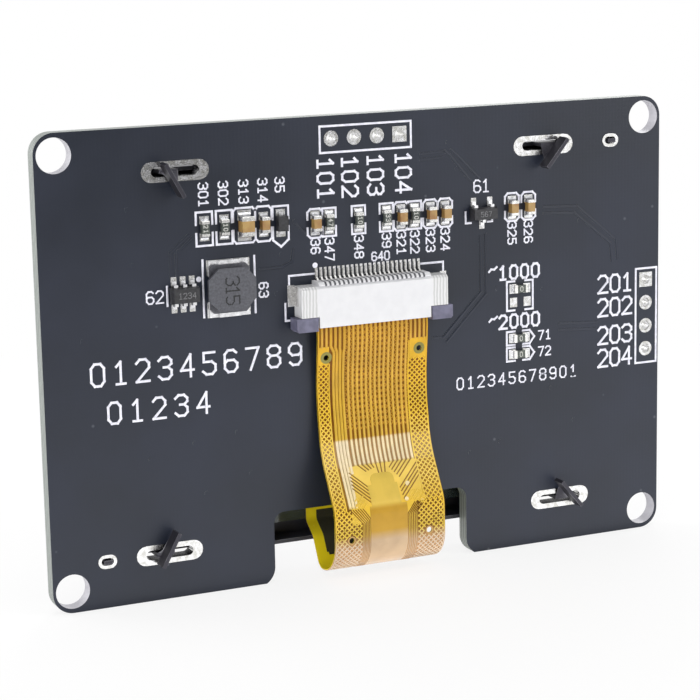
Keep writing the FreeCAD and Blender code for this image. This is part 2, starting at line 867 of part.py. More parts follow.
def inductor_core():
    x, z = inductor_place
    y0, y1, y2, y3 = inductor_levels()
    base = octagon(inductor_place, inductor_base_x, inductor_base_z, inductor_base_cut, y0, y1)
    post = disc(x, z, inductor_post_radius, y0, y3)
    top = octagon(inductor_place, inductor_top_x, inductor_top_z, inductor_cut, y2, y3)
    return base.fuse([post, top]).removeSplitter()


def inductor_winding():
    x, z = inductor_place
    y0, y1, y2, y3 = inductor_levels()
    winding = disc(x, z, inductor_winding_radius, y1, y2)
    return winding.cut(disc(x, z, inductor_post_radius, y0, y3))


def inductor_terminals():
    solids = []
    x, z = inductor_place
    half_x, half_z = inductor_base_x / 2, inductor_base_z / 2
    wide = terminal_upright_width / 2
    base = rear + pad_thickness
    for side in (-1, 1):
        z_out = z + side * (half_z + terminal_reach)
        a, b = sorted((z + side * (half_z - terminal_inside), z_out))
        plate = block(x - half_x, x + half_x, base, base + terminal_thickness, a, b)
        a, b = sorted((z + side * half_z, z_out))
        upright = block(x - wide, x + wide, base, base + terminal_upright, a, b)
        solids.append(plate.fuse(upright).removeSplitter())
    return Part.makeCompound(solids)


def connector_pads():
    solids = []
    top = rear + pad_thickness
    toe = housing_back_z + housing_step + tail_length + contact_pad_toe
    half = contact_pad_width / 2
    for x in contact_places():
        solids.append(block(x - half, x + half, rear, top, toe - contact_pad_length, toe))
    margin = hold_down_pad_margin
    z1 = housing_back_z - hold_down_inset + margin
    z0 = z1 - hold_down_length - 2 * margin
    wall = housing_width / 2
    for side in (-1, 1):
        solids.append(between(side * wall, side * (wall + hold_down_foot + margin), rear, top, z0, z1))
    return solids


def solder_pads():
    solids = connector_pads()
    for place in resistor_places + capacitor_places:
        solids += chip_pads(place, False)
    for place in link_places + [empty_place]:
        solids += chip_pads(place, True)
    solids += end_pads(large_pad_length, large_width + 2 * large_pad_side, large_length / 2 + large_pad_toe,
                       large_capacitor_place, False)
    diode_toe = diode_length / 2 + diode_pad_toe
    solids += end_pads(large_pad_length, diode_pad_width, diode_toe, diode_place, False)
    xs = [-lead_pitch, 0, lead_pitch]
    solids += package_pads(converter_place, converter_width, xs, xs)
    solids += package_pads(regulator_place, regulator_width, [-lead_pitch, lead_pitch], [0])
    x, z = inductor_place
    for side in (-1, 1):
        middle = (x, z + side * (inductor_base_z / 2 - inductor_pad_inset))
        solids.append(block_at(middle, inductor_base_x + 2 * inductor_pad_side, inductor_pad_length,
                               rear, rear + pad_thickness))
    return Part.makeCompound(solids)


def solder_joints():
    solids = []
    for place in resistor_places:
        solids += chip_solder(chip_length, chip_width, resistor_height, place, False)
    for place in capacitor_places:
        solids += chip_solder(chip_length, chip_width, capacitor_height, place, False)
    for place in link_places:
        solids += chip_solder(chip_length, chip_width, resistor_height, place, True)
    solids += chip_solder(large_length, large_width, large_height, large_capacitor_place, False)
    return Part.makeCompound(solids)


def chip_parts():
    parts = {}
    ends = {"resistor_terminals": [], "capacitor_terminals": []}
    small = [(p, False) for p in resistor_places] + [(p, True) for p in link_places]
    for i, (place, quarter) in enumerate(small):
        size = (chip_length, chip_width, resistor_height, chip_terminal, place, quarter)
        parts["resistor_%02d" % (i + 1)] = chip_body(*size)
        ends["resistor_terminals"] += chip_terminals(*size)
    sizes = [(large_length, large_width, large_height, large_terminal, large_capacitor_place, False)]
    sizes += [(chip_length, chip_width, capacitor_height, chip_terminal, p, False) for p in capacitor_places]
    for i, size in enumerate(sizes):
        parts["capacitor_%02d" % (i + 1)] = chip_body(*size)
        ends["capacitor_terminals"] += chip_terminals(*size)
    for name, solids in ends.items():
        parts[name] = Part.makeCompound(solids)
    return parts


def module():
    top_row, side_row = pin_places()
    converter_body, converter_leads = converter()
    regulator_body, regulator_leads = regulator()
    parts = {
        "circuit_board": circuit_board(),
        "top_pin_holes": pin_hole_row(top_row),
        "side_pin_holes": pin_hole_row(side_row),
        "slot_plating": slot_plating(),
        "locating_hole_plating": locating_hole_plating(),
        "solder_pads": solder_pads(),
        "solder_joints": solder_joints(),
        "bezel": bezel(),
        "polarizer": polarizer(),
        "front_glass": front_glass(),
        "edge_seal": edge_seal(),
        "organic_layer": organic_layer(),
        "rear_cover_glass": rear_cover_glass(),
        "foam_tape": foam_tape(),
        "flex_cable": flex_cable(),
        "flex_stiffener": flex_stiffener(),
        "driver_chip": driver_chip(),
        "connector_housing": connector_housing(),
        "connector_slider": connector_slider(),
        "connector_contacts": connector_contacts(),
        "connector_hold_downs": connector_hold_downs(),
        "converter_chip": converter_body,
        "converter_leads": converter_leads,
        "regulator_chip": regulator_body,
        "regulator_leads": regulator_leads,
        "diode": diode_body(),
        "diode_leads": diode_leads(),
        "inductor_core": inductor_core(),
        "inductor_winding": inductor_winding(),
        "inductor_terminals": inductor_terminals(),
    }
    parts.update(chip_parts())
    return parts


os.makedirs("parts", exist_ok=True)
for name, shape in module().items():
    shape.exportStep("parts/" + name + ".step")
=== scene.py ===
# %% [markdown]
# # A small display module, dressed for its picture
# A display glass sits under a folded steel bezel on the front of a dark circuit board. On the
# board's back are chip parts, a white connector and the amber film cable that loops through a
# notch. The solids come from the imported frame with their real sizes. This script gives each of
# them its material, prints the white lines on the board and builds the cable's film with its
# copper tracks, because those are too fine for the solid model.

# %% Load the frame
import bpy
import bmesh
import json
import math
from mathutils import Matrix, Vector


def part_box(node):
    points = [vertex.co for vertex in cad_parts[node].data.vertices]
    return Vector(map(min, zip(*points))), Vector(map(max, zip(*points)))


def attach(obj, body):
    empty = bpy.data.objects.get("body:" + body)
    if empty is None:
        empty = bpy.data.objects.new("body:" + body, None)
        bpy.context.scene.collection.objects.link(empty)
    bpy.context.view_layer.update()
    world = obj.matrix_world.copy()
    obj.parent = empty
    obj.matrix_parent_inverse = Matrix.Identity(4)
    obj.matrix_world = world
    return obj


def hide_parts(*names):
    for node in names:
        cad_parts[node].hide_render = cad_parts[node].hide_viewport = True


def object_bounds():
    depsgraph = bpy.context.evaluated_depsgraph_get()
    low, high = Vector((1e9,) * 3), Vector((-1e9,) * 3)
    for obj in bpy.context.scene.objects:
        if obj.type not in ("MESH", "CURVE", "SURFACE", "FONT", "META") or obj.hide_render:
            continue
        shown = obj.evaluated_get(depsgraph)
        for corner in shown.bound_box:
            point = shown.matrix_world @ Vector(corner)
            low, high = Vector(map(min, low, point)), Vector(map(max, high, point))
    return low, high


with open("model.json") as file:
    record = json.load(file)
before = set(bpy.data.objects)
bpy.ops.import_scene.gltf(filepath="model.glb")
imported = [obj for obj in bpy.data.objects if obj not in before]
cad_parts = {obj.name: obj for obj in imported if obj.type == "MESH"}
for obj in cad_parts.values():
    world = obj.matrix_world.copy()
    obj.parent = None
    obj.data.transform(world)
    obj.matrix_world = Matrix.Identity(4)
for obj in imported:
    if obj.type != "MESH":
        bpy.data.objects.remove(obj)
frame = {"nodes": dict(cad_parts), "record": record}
solid_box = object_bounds()
MM = 0.001
print("solids:", len(frame["nodes"]), "box:", [round(v / MM, 2) for corner in solid_box for v in corner])

# %% [markdown]
# ## Sizes that the pieces share
# A board is drawn in layers, so nearly everything below lies at a known height above one of its
# two faces. Those heights are read from the solids, and the print and the film follow them.

# %% Heights and places from the frame
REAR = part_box("circuit_board")[1].y
FILM_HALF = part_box("flex_cable")[1].x
chip_x = {name: sum((c.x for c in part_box(name)), 0.0) / 2 for name in frame["nodes"]}
chip_z = {name: sum((c.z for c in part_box(name)), 0.0) / 2 for name in frame["nodes"]}
pattern = frame["record"]["mounts"][0]["dims"]
HOLE_CORNER = (pattern["spacing_x_mm"] * MM / 2, REAR / 2, pattern["spacing_y_mm"] * MM / 2)
HOLE_RADIUS = pattern["hole_r_mm"] * MM
print("rear face at", round(REAR / MM, 2), "mm; film", round(2 * FILM_HALF / MM, 2), "mm wide")

# %% [markdown]
# ## Small helpers for materials and objects
# Colours are easiest to compare with a picture as hex values, but the shader wants linear light,
# so one function turns one into the other. Another adds a node, sets it and links it, which keeps
# each material short enough to read as a recipe. Mesh data and curve data show up in a scene only
# once an object holds them, and that takes the same two lines each time, so they are a helper too.

# %% Colour and node helpers
def colour(code):
    parts = [int(code[i:i + 2], 16) / 255 for i in (1, 3, 5)]
    return [c / 12.92 if c <= 0.04045 else ((c + 0.055) / 1.055) ** 2.4 for c in parts] + [1.0]


def connect(tree, made, inputs):
    """Links a value that is a socket to the node's input, and sets any other value on it."""
    for key, value in inputs.items():
        if isinstance(value, bpy.types.NodeSocket):
            tree.links.new(value, made.inputs[key])
        else:
            made.inputs[key].default_value = value


def node(tree, kind, inputs=None, **settings):
    """Adds a node of the given kind with its settings and inputs."""
    made = tree.nodes.new(kind)
    for key, value in settings.items():
        setattr(made, key, value)
    connect(tree, made, inputs or {})
    return made


def start(name, **fixed):
    """A new material with its shader; the fixed values are the same all over the surface."""
    material = bpy.data.materials.new(name)
    material.use_nodes = True
    tree = material.node_tree
    tree.nodes.clear()
    shader = node(tree, "ShaderNodeBsdfPrincipled", {key.replace("_", " "): fixed[key] for key in fixed})
    node(tree, "ShaderNodeOutputMaterial", {"Surface": shader.outputs[0]})
    return material, tree, shader


# %% Texture scales from real sizes, and new objects
def grain_scale(size):
    """The noise scale at which one grain is as wide as the size in mm."""
    return 1 / (size * MM)


def band_scale(size):
    """The wave scale at which bands repeat after the size in mm."""
    return math.pi / (10 * size * MM)


def add(name, data):
    """An object that holds the data, put in the scene."""
    made = bpy.data.objects.new(name, data)
    bpy.context.collection.objects.link(made)
    return made


def add_mesh(name, corners, faces=()):
    """A mesh object from its corners and from faces that are rows of corner numbers."""
    mesh = bpy.data.meshes.new(name)
    mesh.from_pydata(corners, [], faces)
    return add(name, mesh)


print("noise scale for a 1 mm grain:", round(grain_scale(1.0)), "- for 1 mm bands:", round(band_scale(1.0)))

# %% [markdown]
# ## The common finish: a fine grain
# Moulded plastic, ceramic, tin and foam all look alike in one way: the colour wanders a little
# over a millimetre or so, and a finer grain breaks up the gloss. One recipe with the grain's real
# size in millimetres serves them all, and only its numbers change.

# %% A grained finish
def grained(name, dark, light, grain, roughness, depth, **fixed):
    """Two near colours over a coarse grain; a finer grain for gloss and relief. Sizes in mm."""
    material, tree, shader = start(name, **fixed)
    place = node(tree, "ShaderNodeTexCoord").outputs["Object"]
    coarse = node(tree, "ShaderNodeTexNoise", {"Vector": place, "Scale": grain_scale(grain), "Detail": 3.0})
    fine = node(tree, "ShaderNodeTexNoise", {"Vector": place, "Scale": grain_scale(grain / 4), "Detail": 2.0})
    spread = node(tree, "ShaderNodeMapRange", {"Value": coarse.outputs["Fac"], "From Min": 0.35,
                                               "From Max": 0.65})
    mix = node(tree, "ShaderNodeMix", {"Factor": spread.outputs[0], "A": colour(dark), "B": colour(light)},
               data_type="RGBA")
    gloss = node(tree, "ShaderNodeMapRange", {"Value": fine.outputs["Fac"], "From Min": 0.3, "From Max": 0.7,
                                              "To Min": roughness * 0.85,
                                              "To Max": min(1.0, roughness * 1.15)})
    relief = node(tree, "ShaderNodeBump", {"Height": fine.outputs["Fac"], "Distance": depth * MM,
                                           "Strength": 0.6})
    connect(tree, shader, {"Base Color": mix.outputs["Result"], "Roughness": gloss.outputs[0],
                           "Normal": relief.outputs[0]})
    return material

# %% [markdown]
# ## Finishes for the small parts
# Each entry is a material by its common name and how its surface was made. The connector is
# injection-moulded nylon, white for the housing and slate for the locking slider. Terminals are
# dipped in tin, which stays bright but slightly cloudy. Ceramic bodies are pressed and fired.

# %% Plastics, ceramics and tin
finishes = {
    "connector_dark": grained("moulded slate nylon", "#57566a", "#6b6a80", 0.8, 0.5, 0.01, IOR=1.53),
    "contact_metal": grained("stamped tinned bronze", "#b9b8b6", "#d8d7d6", 0.6, 0.24, 0.004, Metallic=1.0),
    "tinned_leads": grained("dull tinned copper leads", "#cfcfd1", "#f0f0f2", 0.5, 0.3, 0.006, Metallic=1.0),
    "chip_ends": grained("dipped tin terminals", "#cfcecb", "#efeeeb", 0.35, 0.26, 0.008, Metallic=1.0),
    "plated_pads": grained("hot-levelled solder finish", "#b6b5b1", "#dadadc", 0.45, 0.24, 0.01,
                           Metallic=1.0),
    "solder": grained("reflowed solder", "#b9babd", "#dedee0", 0.3, 0.18, 0.01, Metallic=1.0),
    "mould_black": grained("moulded black epoxy", "#1b1b1e", "#2c2c30", 0.25, 0.46, 0.012, IOR=1.5),
    "chip_capacitor": grained("fired tan ceramic", "#90683a", "#a98a50", 1.3, 0.36, 0.006, IOR=1.6),
    "chip_resistor": grained("glazed resistor body", "#434845", "#5d625c", 0.25, 0.22, 0.004, IOR=1.5),
    "ferrite": grained("tumbled grey ferrite", "#3a3b42", "#4e4f57", 0.22, 0.46, 0.014, IOR=1.6),
    "copper_wire": grained("enamelled copper wire", "#6e3517", "#93501f", 0.3, 0.25, 0.01, Metallic=0.6),
    "seal": grained("cured sealing resin", "#a8a08a", "#bdb69f", 0.7, 0.35, 0.01, IOR=1.5),
    "foam": grained("closed-cell foam tape", "#141416", "#232326", 0.3, 0.9, 0.03, IOR=1.4),
    "display_layer": grained("evaporated display layer", "#0f1016", "#161722", 2.0, 0.2, 0.001, IOR=1.6),
    "stiffener": grained("white stiffening film", "#dcdcd6", "#ecece8", 1.5, 0.4, 0.004, IOR=1.5),
    "silicon": grained("polished bare silicon", "#2b2d33", "#3a3d45", 1.2, 0.12, 0.001, IOR=2.0),
}
print("common finishes:", len(finishes))

# %% [markdown]
# ## White nylon with painted shade at the ends
# The connector's roof is thick and looks plain white. Its two end blocks are lower and lie in shade, so their
# grey is painted shade, with faint upright bands where the ribs are.

# %% Moulded nylon with painted shade at the ends
CLOUD_IN_NYLON = 1.11
RIB_PITCH = 0.349


def nylon_material(roof_half):
    """Plain white across the roof, which is roof_half wide to each side, and painted grey shade beyond it."""
    material, tree, shader = start("moulded white nylon", IOR=1.53)
    place = node(tree, "ShaderNodeTexCoord").outputs["Object"]
    parts = node(tree, "ShaderNodeSeparateXYZ", {"Vector": place})
    out = node(tree, "ShaderNodeMath", {0: parts.outputs["X"]}, operation="ABSOLUTE")
    ends = node(tree, "ShaderNodeMapRange", {"Value": out.outputs[0], "From Min": roof_half,
                                             "From Max": roof_half + 0.12 * MM})
    cloud = node(tree, "ShaderNodeTexNoise", {"Vector": place, "Scale": grain_scale(CLOUD_IN_NYLON),
                                              "Detail": 3.0})
    ribs = node(tree, "ShaderNodeTexWave", {"Vector": place, "Scale": band_scale(RIB_PITCH),
                                            "Distortion": 2.5, "Detail": 2.0}, bands_direction="X")
    white = node(tree, "ShaderNodeMix", {"Factor": cloud.outputs["Fac"], "A": colour("#d2d2d5"),
                                         "B": colour("#e0e0e2")}, data_type="RGBA")
    # The grey at the ends is painted shade, with faint bands at the ribs.
    grey = node(tree, "ShaderNodeMix", {"Factor": ribs.outputs["Fac"], "A": colour("#bcbcbc"),
                                        "B": colour("#dcdcdd")}, data_type="RGBA")
    base = node(tree, "ShaderNodeMix", {"Factor": ends.outputs[0], "A": white.outputs["Result"],
                                        "B": grey.outputs["Result"]}, data_type="RGBA")
    gloss = node(tree, "ShaderNodeMapRange", {"Value": cloud.outputs["Fac"], "From Min": 0.3, "From Max": 0.7,
                                              "To Min": 0.36, "To Max": 0.48})
    relief = node(tree, "ShaderNodeBump", {"Height": cloud.outputs["Fac"], "Distance": 0.01 * MM,
                                           "Strength": 0.6})
    connect(tree, shader, {"Base Color": base.outputs["Result"], "Roughness": gloss.outputs[0],
                           "Normal": relief.outputs[0]})
    return material


finishes["connector_white"] = nylon_material(FILM_HALF + 0.15 * MM)
print("white roof of the connector:", round(2 * (FILM_HALF / MM + 0.15), 2), "mm")

# %% [markdown]
# ## The board
# Woven glass cloth in resin is pale and slightly green where it was cut. Its faces carry a dark
# solder mask, a thin satin lacquer that follows the cloth underneath, so the gloss has a faint
# weave. Only the direction of the surface decides which of the two shows: faces look along Y.
# Inside the four mounting holes the cut cloth is whiter, because the drill breaks the resin up.
# All sizes below are in millimetres; the real threads are finer and are drawn as coarse as it
# takes to see them.

# %% Solder mask over laminate
THREAD = 0.4
CLOTH_LAYER = 0.449
MASK_CLOUD = 11.1
DUST_SPACING = 4.17
WALL_REACH = math.hypot(HOLE_RADIUS, REAR / 2) + 0.066 * MM


def board_material():
    material, tree, shader = start("solder mask over glass laminate", IOR=1.5, Specular_IOR_Level=0.36)
    where = node(tree, "ShaderNodeTexCoord")
    place = where.outputs["Object"]
    threads = [node(tree, "ShaderNodeTexWave", {"Vector": place, "Scale": band_scale(THREAD),
                                                "Distortion": 0.6, "Detail": 1.0}, bands_direction=way)
               for way in ("X", "Z")]
    weave = node(tree, "ShaderNodeMath", {0: threads[0].outputs["Fac"], 1: threads[1].outputs["Fac"]},
                 operation="ADD")
    cloud = node(tree, "ShaderNodeTexNoise", {"Vector": place, "Scale": grain_scale(MASK_CLOUD),
                                              "Detail": 4.0})
    spread = node(tree, "ShaderNodeMapRange", {"Value": cloud.outputs["Fac"], "From Min": 0.3,
                                               "From Max": 0.7})
    mask = node(tree, "ShaderNodeMix", {"Factor": spread.outputs[0], "A": colour("#1a1f2a"),
                                        "B": colour("#222735")}, data_type="RGBA")
    specks = node(tree, "ShaderNodeTexVoronoi", {"Vector": place, "Scale": grain_scale(DUST_SPACING)})
    dust = node(tree, "ShaderNodeMapRange", {"Value": specks.outputs["Distance"], "From Min": 0.02,
                                             "From Max": 0.05, "To Min": 0.35, "To Max": 0.0})
    dusty = node(tree, "ShaderNodeMix", {"Factor": dust.outputs[0], "A": mask.outputs["Result"],
                                         "B": colour("#6d7078")}, data_type="RGBA")
    layers = node(tree, "ShaderNodeTexWave", {"Vector": place, "Scale": band_scale(CLOTH_LAYER),
                                              "Distortion": 2.0, "Detail": 2.0}, bands_direction="Y")
    laminate = node(tree, "ShaderNodeMix", {"Factor": layers.outputs["Fac"], "A": colour("#686d69"),
                                            "B": colour("#959b97")}, data_type="RGBA")
    mirrored = node(tree, "ShaderNodeVectorMath", {0: place}, operation="ABSOLUTE")
    from_hole = node(tree, "ShaderNodeVectorMath", {0: mirrored.outputs[0], 1: HOLE_CORNER},
                     operation="DISTANCE")
    wall = node(tree, "ShaderNodeMath", {0: from_hole.outputs["Value"], 1: WALL_REACH}, operation="LESS_THAN")
    cut = node(tree, "ShaderNodeMix", {"Factor": wall.outputs[0], "A": laminate.outputs["Result"],
                                       "B": colour("#b9b8be")}, data_type="RGBA")
    facing = node(tree, "ShaderNodeSeparateXYZ", {"Vector": where.outputs["Normal"]})
    flat = node(tree, "ShaderNodeMath", {0: facing.outputs["Y"]}, operation="ABSOLUTE")
    face = node(tree, "ShaderNodeMath", {0: flat.outputs[0], 1: 0.5}, operation="GREATER_THAN")
    base = node(tree, "ShaderNodeMix", {"Factor": face.outputs[0], "A": cut.outputs["Result"],
                                        "B": dusty.outputs["Result"]}, data_type="RGBA")
    gloss = node(tree, "ShaderNodeMapRange", {"Value": cloud.outputs["Fac"], "From Min": 0.3, "From Max": 0.7,
                                              "To Min": 0.36, "To Max": 0.46})
    relief = node(tree, "ShaderNodeBump", {"Height": weave.outputs[0], "Distance": 0.003 * MM,
                                           "Strength": 0.5})
    connect(tree, shader, {"Base Color": base.outputs["Result"], "Roughness": gloss.outputs[0],
                           "Normal": relief.outputs[0]})
    return material


finishes["board"] = board_material()
print("hole walls reach", round(WALL_REACH / MM, 2), "mm from the middle of each hole")

# %% [markdown]
# ## The bezel
# It is punched and folded from thin steel and painted matt. Paint is thin on a cut edge and rubs
# off there first, so bare steel shows along the edges. A bevel node finds the edges: where its
# rounded normal differs from the true one, the paint is worn. The tabs behind the board show more
# metal, so the paint turns partly metallic toward the back.

# %% Matt paint worn at the edges
PAINT_GRAIN = 0.385
PAINT_CLOUD = 8.33
RUBBED_PATCH = 1.43
EDGE_WIDTH = 0.12


def bezel_material():
    material, tree, shader = start("matt paint on folded steel", IOR=1.5, Specular_IOR_Level=0.36)
    place = node(tree, "ShaderNodeTexCoord").outputs["Object"]
    grain = node(tree, "ShaderNodeTexNoise", {"Vector": place, "Scale": grain_scale(PAINT_GRAIN),
                                              "Detail": 2.0})
    cloud = node(tree, "ShaderNodeTexNoise", {"Vector": place, "Scale": grain_scale(PAINT_CLOUD),
                                              "Detail": 4.0})
    paint = node(tree, "ShaderNodeMix", {"Factor": cloud.outputs["Fac"], "A": colour("#303036"),
                                         "B": colour("#3d3d44")}, data_type="RGBA")
    depth = node(tree, "ShaderNodeSeparateXYZ", {"Vector": place})
    behind = node(tree, "ShaderNodeMapRange", {"Value": depth.outputs["Y"], "From Max": REAR})
    coat = node(tree, "ShaderNodeMix", {"Factor": behind.outputs[0], "A": paint.outputs["Result"],
                                        "B": colour("#3a3940")}, data_type="RGBA")
    rounded = node(tree, "ShaderNodeBevel", {"Radius": EDGE_WIDTH * MM}, samples=4)
    true = node(tree, "ShaderNodeNewGeometry")
    same = node(tree, "ShaderNodeVectorMath", {0: rounded.outputs[0], 1: true.outputs["Normal"]},
                operation="DOT_PRODUCT")
    rub = node(tree, "ShaderNodeTexNoise", {"Vector": place, "Scale": grain_scale(RUBBED_PATCH),
                                            "Detail": 3.0})
    edge = node(tree, "ShaderNodeMapRange", {"Value": same.outputs["Value"], "From Min": 0.97,
                                             "From Max": 0.86})
    worn = node(tree, "ShaderNodeMath", {0: edge.outputs[0], 1: rub.outputs["Fac"]}, operation="MULTIPLY")
    bare = node(tree, "ShaderNodeMapRange", {"Value": worn.outputs[0], "From Min": 0.36, "From Max": 0.62})
    base = node(tree, "ShaderNodeMix", {"Factor": bare.outputs[0], "A": coat.outputs["Result"],
                                        "B": colour("#85858a")}, data_type="RGBA")
    gloss = node(tree, "ShaderNodeMapRange", {"Value": cloud.outputs["Fac"], "To Min": 0.36, "To Max": 0.52})
    relief = node(tree, "ShaderNodeBump", {"Height": grain.outputs["Fac"], "Distance": 0.006 * MM,
                                           "Strength": 0.5})
    plated = node(tree, "ShaderNodeMath", {0: behind.outputs[0], 1: 0.55}, operation="MULTIPLY")
    metal = node(tree, "ShaderNodeMath", {0: bare.outputs[0], 1: plated.outputs[0]}, operation="MAXIMUM")
    connect(tree, shader, {"Base Color": base.outputs["Result"], "Metallic": metal.outputs[0],
                           "Roughness": gloss.outputs[0], "Normal": relief.outputs[0]})
    return material


finishes["bezel"] = bezel_material()
print("paint is worn within about", EDGE_WIDTH, "mm of an edge")

# %% [markdown]
# ## Glass and the polarizer
# The glass plates are clear and seen only at their edges and in the notch. The polarizer is a
# smooth dark film with a faint bloom, which makes the window look almost black with a soft,
# blurred reflection.

# %% Glass and film in the window
GLASS_HAZE = 3.33


def glass_material(name, tint, roughness):
    material, tree, shader = start(name, IOR=1.52, Transmission_Weight=0.85)
    place = node(tree, "ShaderNodeTexCoord").outputs["Object"]
    haze = node(tree, "ShaderNodeTexNoise", {"Vector": place, "Scale": grain_scale(GLASS_HAZE),
                                             "Detail": 3.0})
    tone = node(tree, "ShaderNodeMix", {"Factor": haze.outputs["Fac"], "A": colour(tint),
                                        "B": colour("#9fb0ac")}, data_type="RGBA")
    gloss = node(tree, "ShaderNodeMapRange", {"Value": haze.outputs["Fac"], "To Min": roughness * 0.5,
                                              "To Max": roughness * 1.5})
    connect(tree, shader, {"Base Color": tone.outputs["Result"], "Roughness": gloss.outputs[0]})
    return material


finishes["display_glass"] = glass_material("ground edge of display glass", "#5f6f6d", 0.12)
finishes["cover_glass"] = glass_material("cover glass", "#6b7a78", 0.1)
finishes["polarizer"] = grained("satin polarizer film", "#08070b", "#0d0c12", 6.0, 0.16, 0.0008, IOR=1.49,
                                Specular_IOR_Level=0.12)
print("window finishes:", [finishes[slot].name for slot in ("display_glass", "cover_glass", "polarizer")])

# %% [markdown]
# ## The amber film
# Polyimide is a clear amber plastic. Copper between its layers looks gold through it, and where there is no
# copper the film looks deeper and browner. Each film piece keeps, for every point, its place on the flat
# artwork (across, along, lift), so that colour can follow the cable round its bends. Along the length the
# colour ramps paint shade on the part under the connector and a whitish painted sheen on the bend below; one
# zone has a thinner cover and looks pale.

# %% Film finishes that follow the artwork
# The side near the board is painted bright: painted light for the light that comes through the thin film.
INNER_PAINTED_GLOW = "#f2dc24"
FILM_CLOUD = 2.38
RAMP_LENGTH = 40.0


def film_finish(name, stops, roughness, inner=INNER_PAINTED_GLOW):
    """Stops are (mm along the cable, colour), and inner is the colour of the side near the board, by default
    a bright yellow that paints the light coming through the film.
    """
    material, tree, shader = start(name, IOR=1.6, Specular_IOR_Level=0.12, Coat_Weight=0.04,
                                   Coat_Roughness=0.08)
    flat = node(tree, "ShaderNodeAttribute", attribute_name="flat")
    parts = node(tree, "ShaderNodeSeparateXYZ", {"Vector": flat.outputs["Vector"]})
    along = node(tree, "ShaderNodeMapRange", {"Value": parts.outputs["Y"], "From Max": RAMP_LENGTH * MM})
    ramp = node(tree, "ShaderNodeValToRGB", {"Fac": along.outputs[0]})
    for distance, code in stops[1:-1]:
        ramp.color_ramp.elements.new(distance / RAMP_LENGTH).color = colour(code)
    ramp.color_ramp.elements[0].color = colour(stops[0][1])
    ramp.color_ramp.elements[-1].color = colour(stops[-1][1])
    place = node(tree, "ShaderNodeTexCoord").outputs["Object"]
    cloud = node(tree, "ShaderNodeTexNoise", {"Vector": place, "Scale": grain_scale(FILM_CLOUD),
                                              "Detail": 3.0})
    shade = node(tree, "ShaderNodeMapRange", {"Value": cloud.outputs["Fac"], "From Min": 0.35,
                                              "From Max": 0.65, "To Min": 0.9, "To Max": 1.06})
    toned = node(tree, "ShaderNodeVectorMath", {0: ramp.outputs["Color"], "Scale": shade.outputs[0]},
                 operation="SCALE")
    side = node(tree, "ShaderNodeMath", {0: parts.outputs["Z"], 1: 0.0}, operation="LESS_THAN")
    # The inner side takes the inner colour, by default painted light.
    both = node(tree, "ShaderNodeMix", {"Factor": side.outputs[0], "A": toned.outputs[0], "B": colour(inner)},
                data_type="RGBA")
    gloss = node(tree, "ShaderNodeMapRange", {"Value": cloud.outputs["Fac"], "From Min": 0.3, "From Max": 0.7,
                                              "To Min": roughness * 0.8, "To Max": roughness * 1.2})
    relief = node(tree, "ShaderNodeBump", {"Height": cloud.outputs["Fac"], "Distance": 0.01 * MM,
                                           "Strength": 0.4})
    connect(tree, shader, {"Base Color": both.outputs["Result"], "Roughness": gloss.outputs[0],
                           "Normal": relief.outputs[0]})
    return material


# The early stops paint shade under the connector, and the pale stops from about 26 mm on paint the sheen on
# the lower bend, in the film and in most artwork finishes below.
finishes["flex_film"] = film_finish("bare amber polyimide film", [
    (0, "#7c4a04"), (12, "#6a3c00"), (15.3, "#7a4c06"), (15.6, "#a28052"), (18.1, "#a28052"),
    (18.3, "#93691e"), (22, "#8a6418"), (22.9, "#6a4404"), (25.3, "#704a08"), (26.6, "#b48a5c"),
    (40, "#bc9266")], 0.26)
artwork = {
    "tracks": film_finish("copper tracks under amber film", [
        (0, "#cb9838"), (15.3, "#cfa53c"), (15.5, "#e8d4a8"), (18, "#ead8ae"), (18.2, "#dcbc4e"),
        (40, "#e3c256")], 0.24),
    "side_tracks": film_finish("copper side tracks under amber film", [
        (0, "#c8932a"), (15.3, "#cda638"), (15.5, "#ead8b6"), (22.4, "#ead6a2"), (22.6, "#d4b03c"),
        (40, "#e0b83a")], 0.24),
    "mesh": film_finish("copper mesh under amber film", [
        (0, "#d09a22"), (13, "#dcb432"), (17, "#e8c862"), (20, "#e6c45a"), (22.6, "#deb63a"),
        (25.5, "#d2b244"), (26.6, "#c9b298"), (40, "#d0b896")], 0.24),
    # These stops paint the shade of the chip behind the film.
    "chip_shade_paint": film_finish("painted chip shade on amber film", [
        (0, "#c8902a"), (19, "#ceb04a"), (22.4, "#d0b04c"), (22.9, "#b0882a"), (25.2, "#b68e34"),
        (26.2, "#bda384"), (40, "#c4a681")], 0.22),
    "gaps": film_finish("gaps between tracks in amber film", [
        (0, "#7c4a04"), (17, "#94703c"), (22.4, "#8c6420"), (22.8, "#6c4404"), (25, "#8a6420"),
        (26.6, "#b08858"), (40, "#b08858")], 0.26),
    "rings": film_finish("lacquered ring under amber film", [
        (0, "#868044"), (20, "#868044"), (24, "#b8955c"), (40, "#b8955c")], 0.3),
    "far_mesh": film_finish("copper mesh on the far side of amber film", [
        (0, "#b07e1e"), (14, "#b88828"), (40, "#b88828")], 0.26),
    "inner_dark_patch": film_finish("dark patch on the film's inner side", [
        (0, "#3b3526"), (40, "#3b3526")], 0.35, inner="#3b3a30"),
}
print("film finishes:", 1 + len(artwork))

# %% [markdown]
# ## Each solid gets its finish
# The record names a material slot for every solid, and the finishes above are kept under the same
# names. So one loop dresses all of them, and a solid without a finish would stop the script.

# %% Give every solid its finish
for entry in frame["record"]["subparts"]:
    solid = frame["nodes"][entry["node"]]
    solid.data.materials.clear()
    solid.data.materials.append(finishes[entry["material_slot"]])

# %% [markdown]
# ## Print on the board
# White marking ink is screen-printed: every line has an even width, about 0.2 mm, and lies on the
# lacquer with a little thickness. Lines are drawn here as flat strokes, and Geometry Nodes turn
# each into a thin ribbon. A curve could carry its own bevel, but the node tree keeps line width
# and ink thickness as named inputs, so the same tree also raises the faint copper tracks.

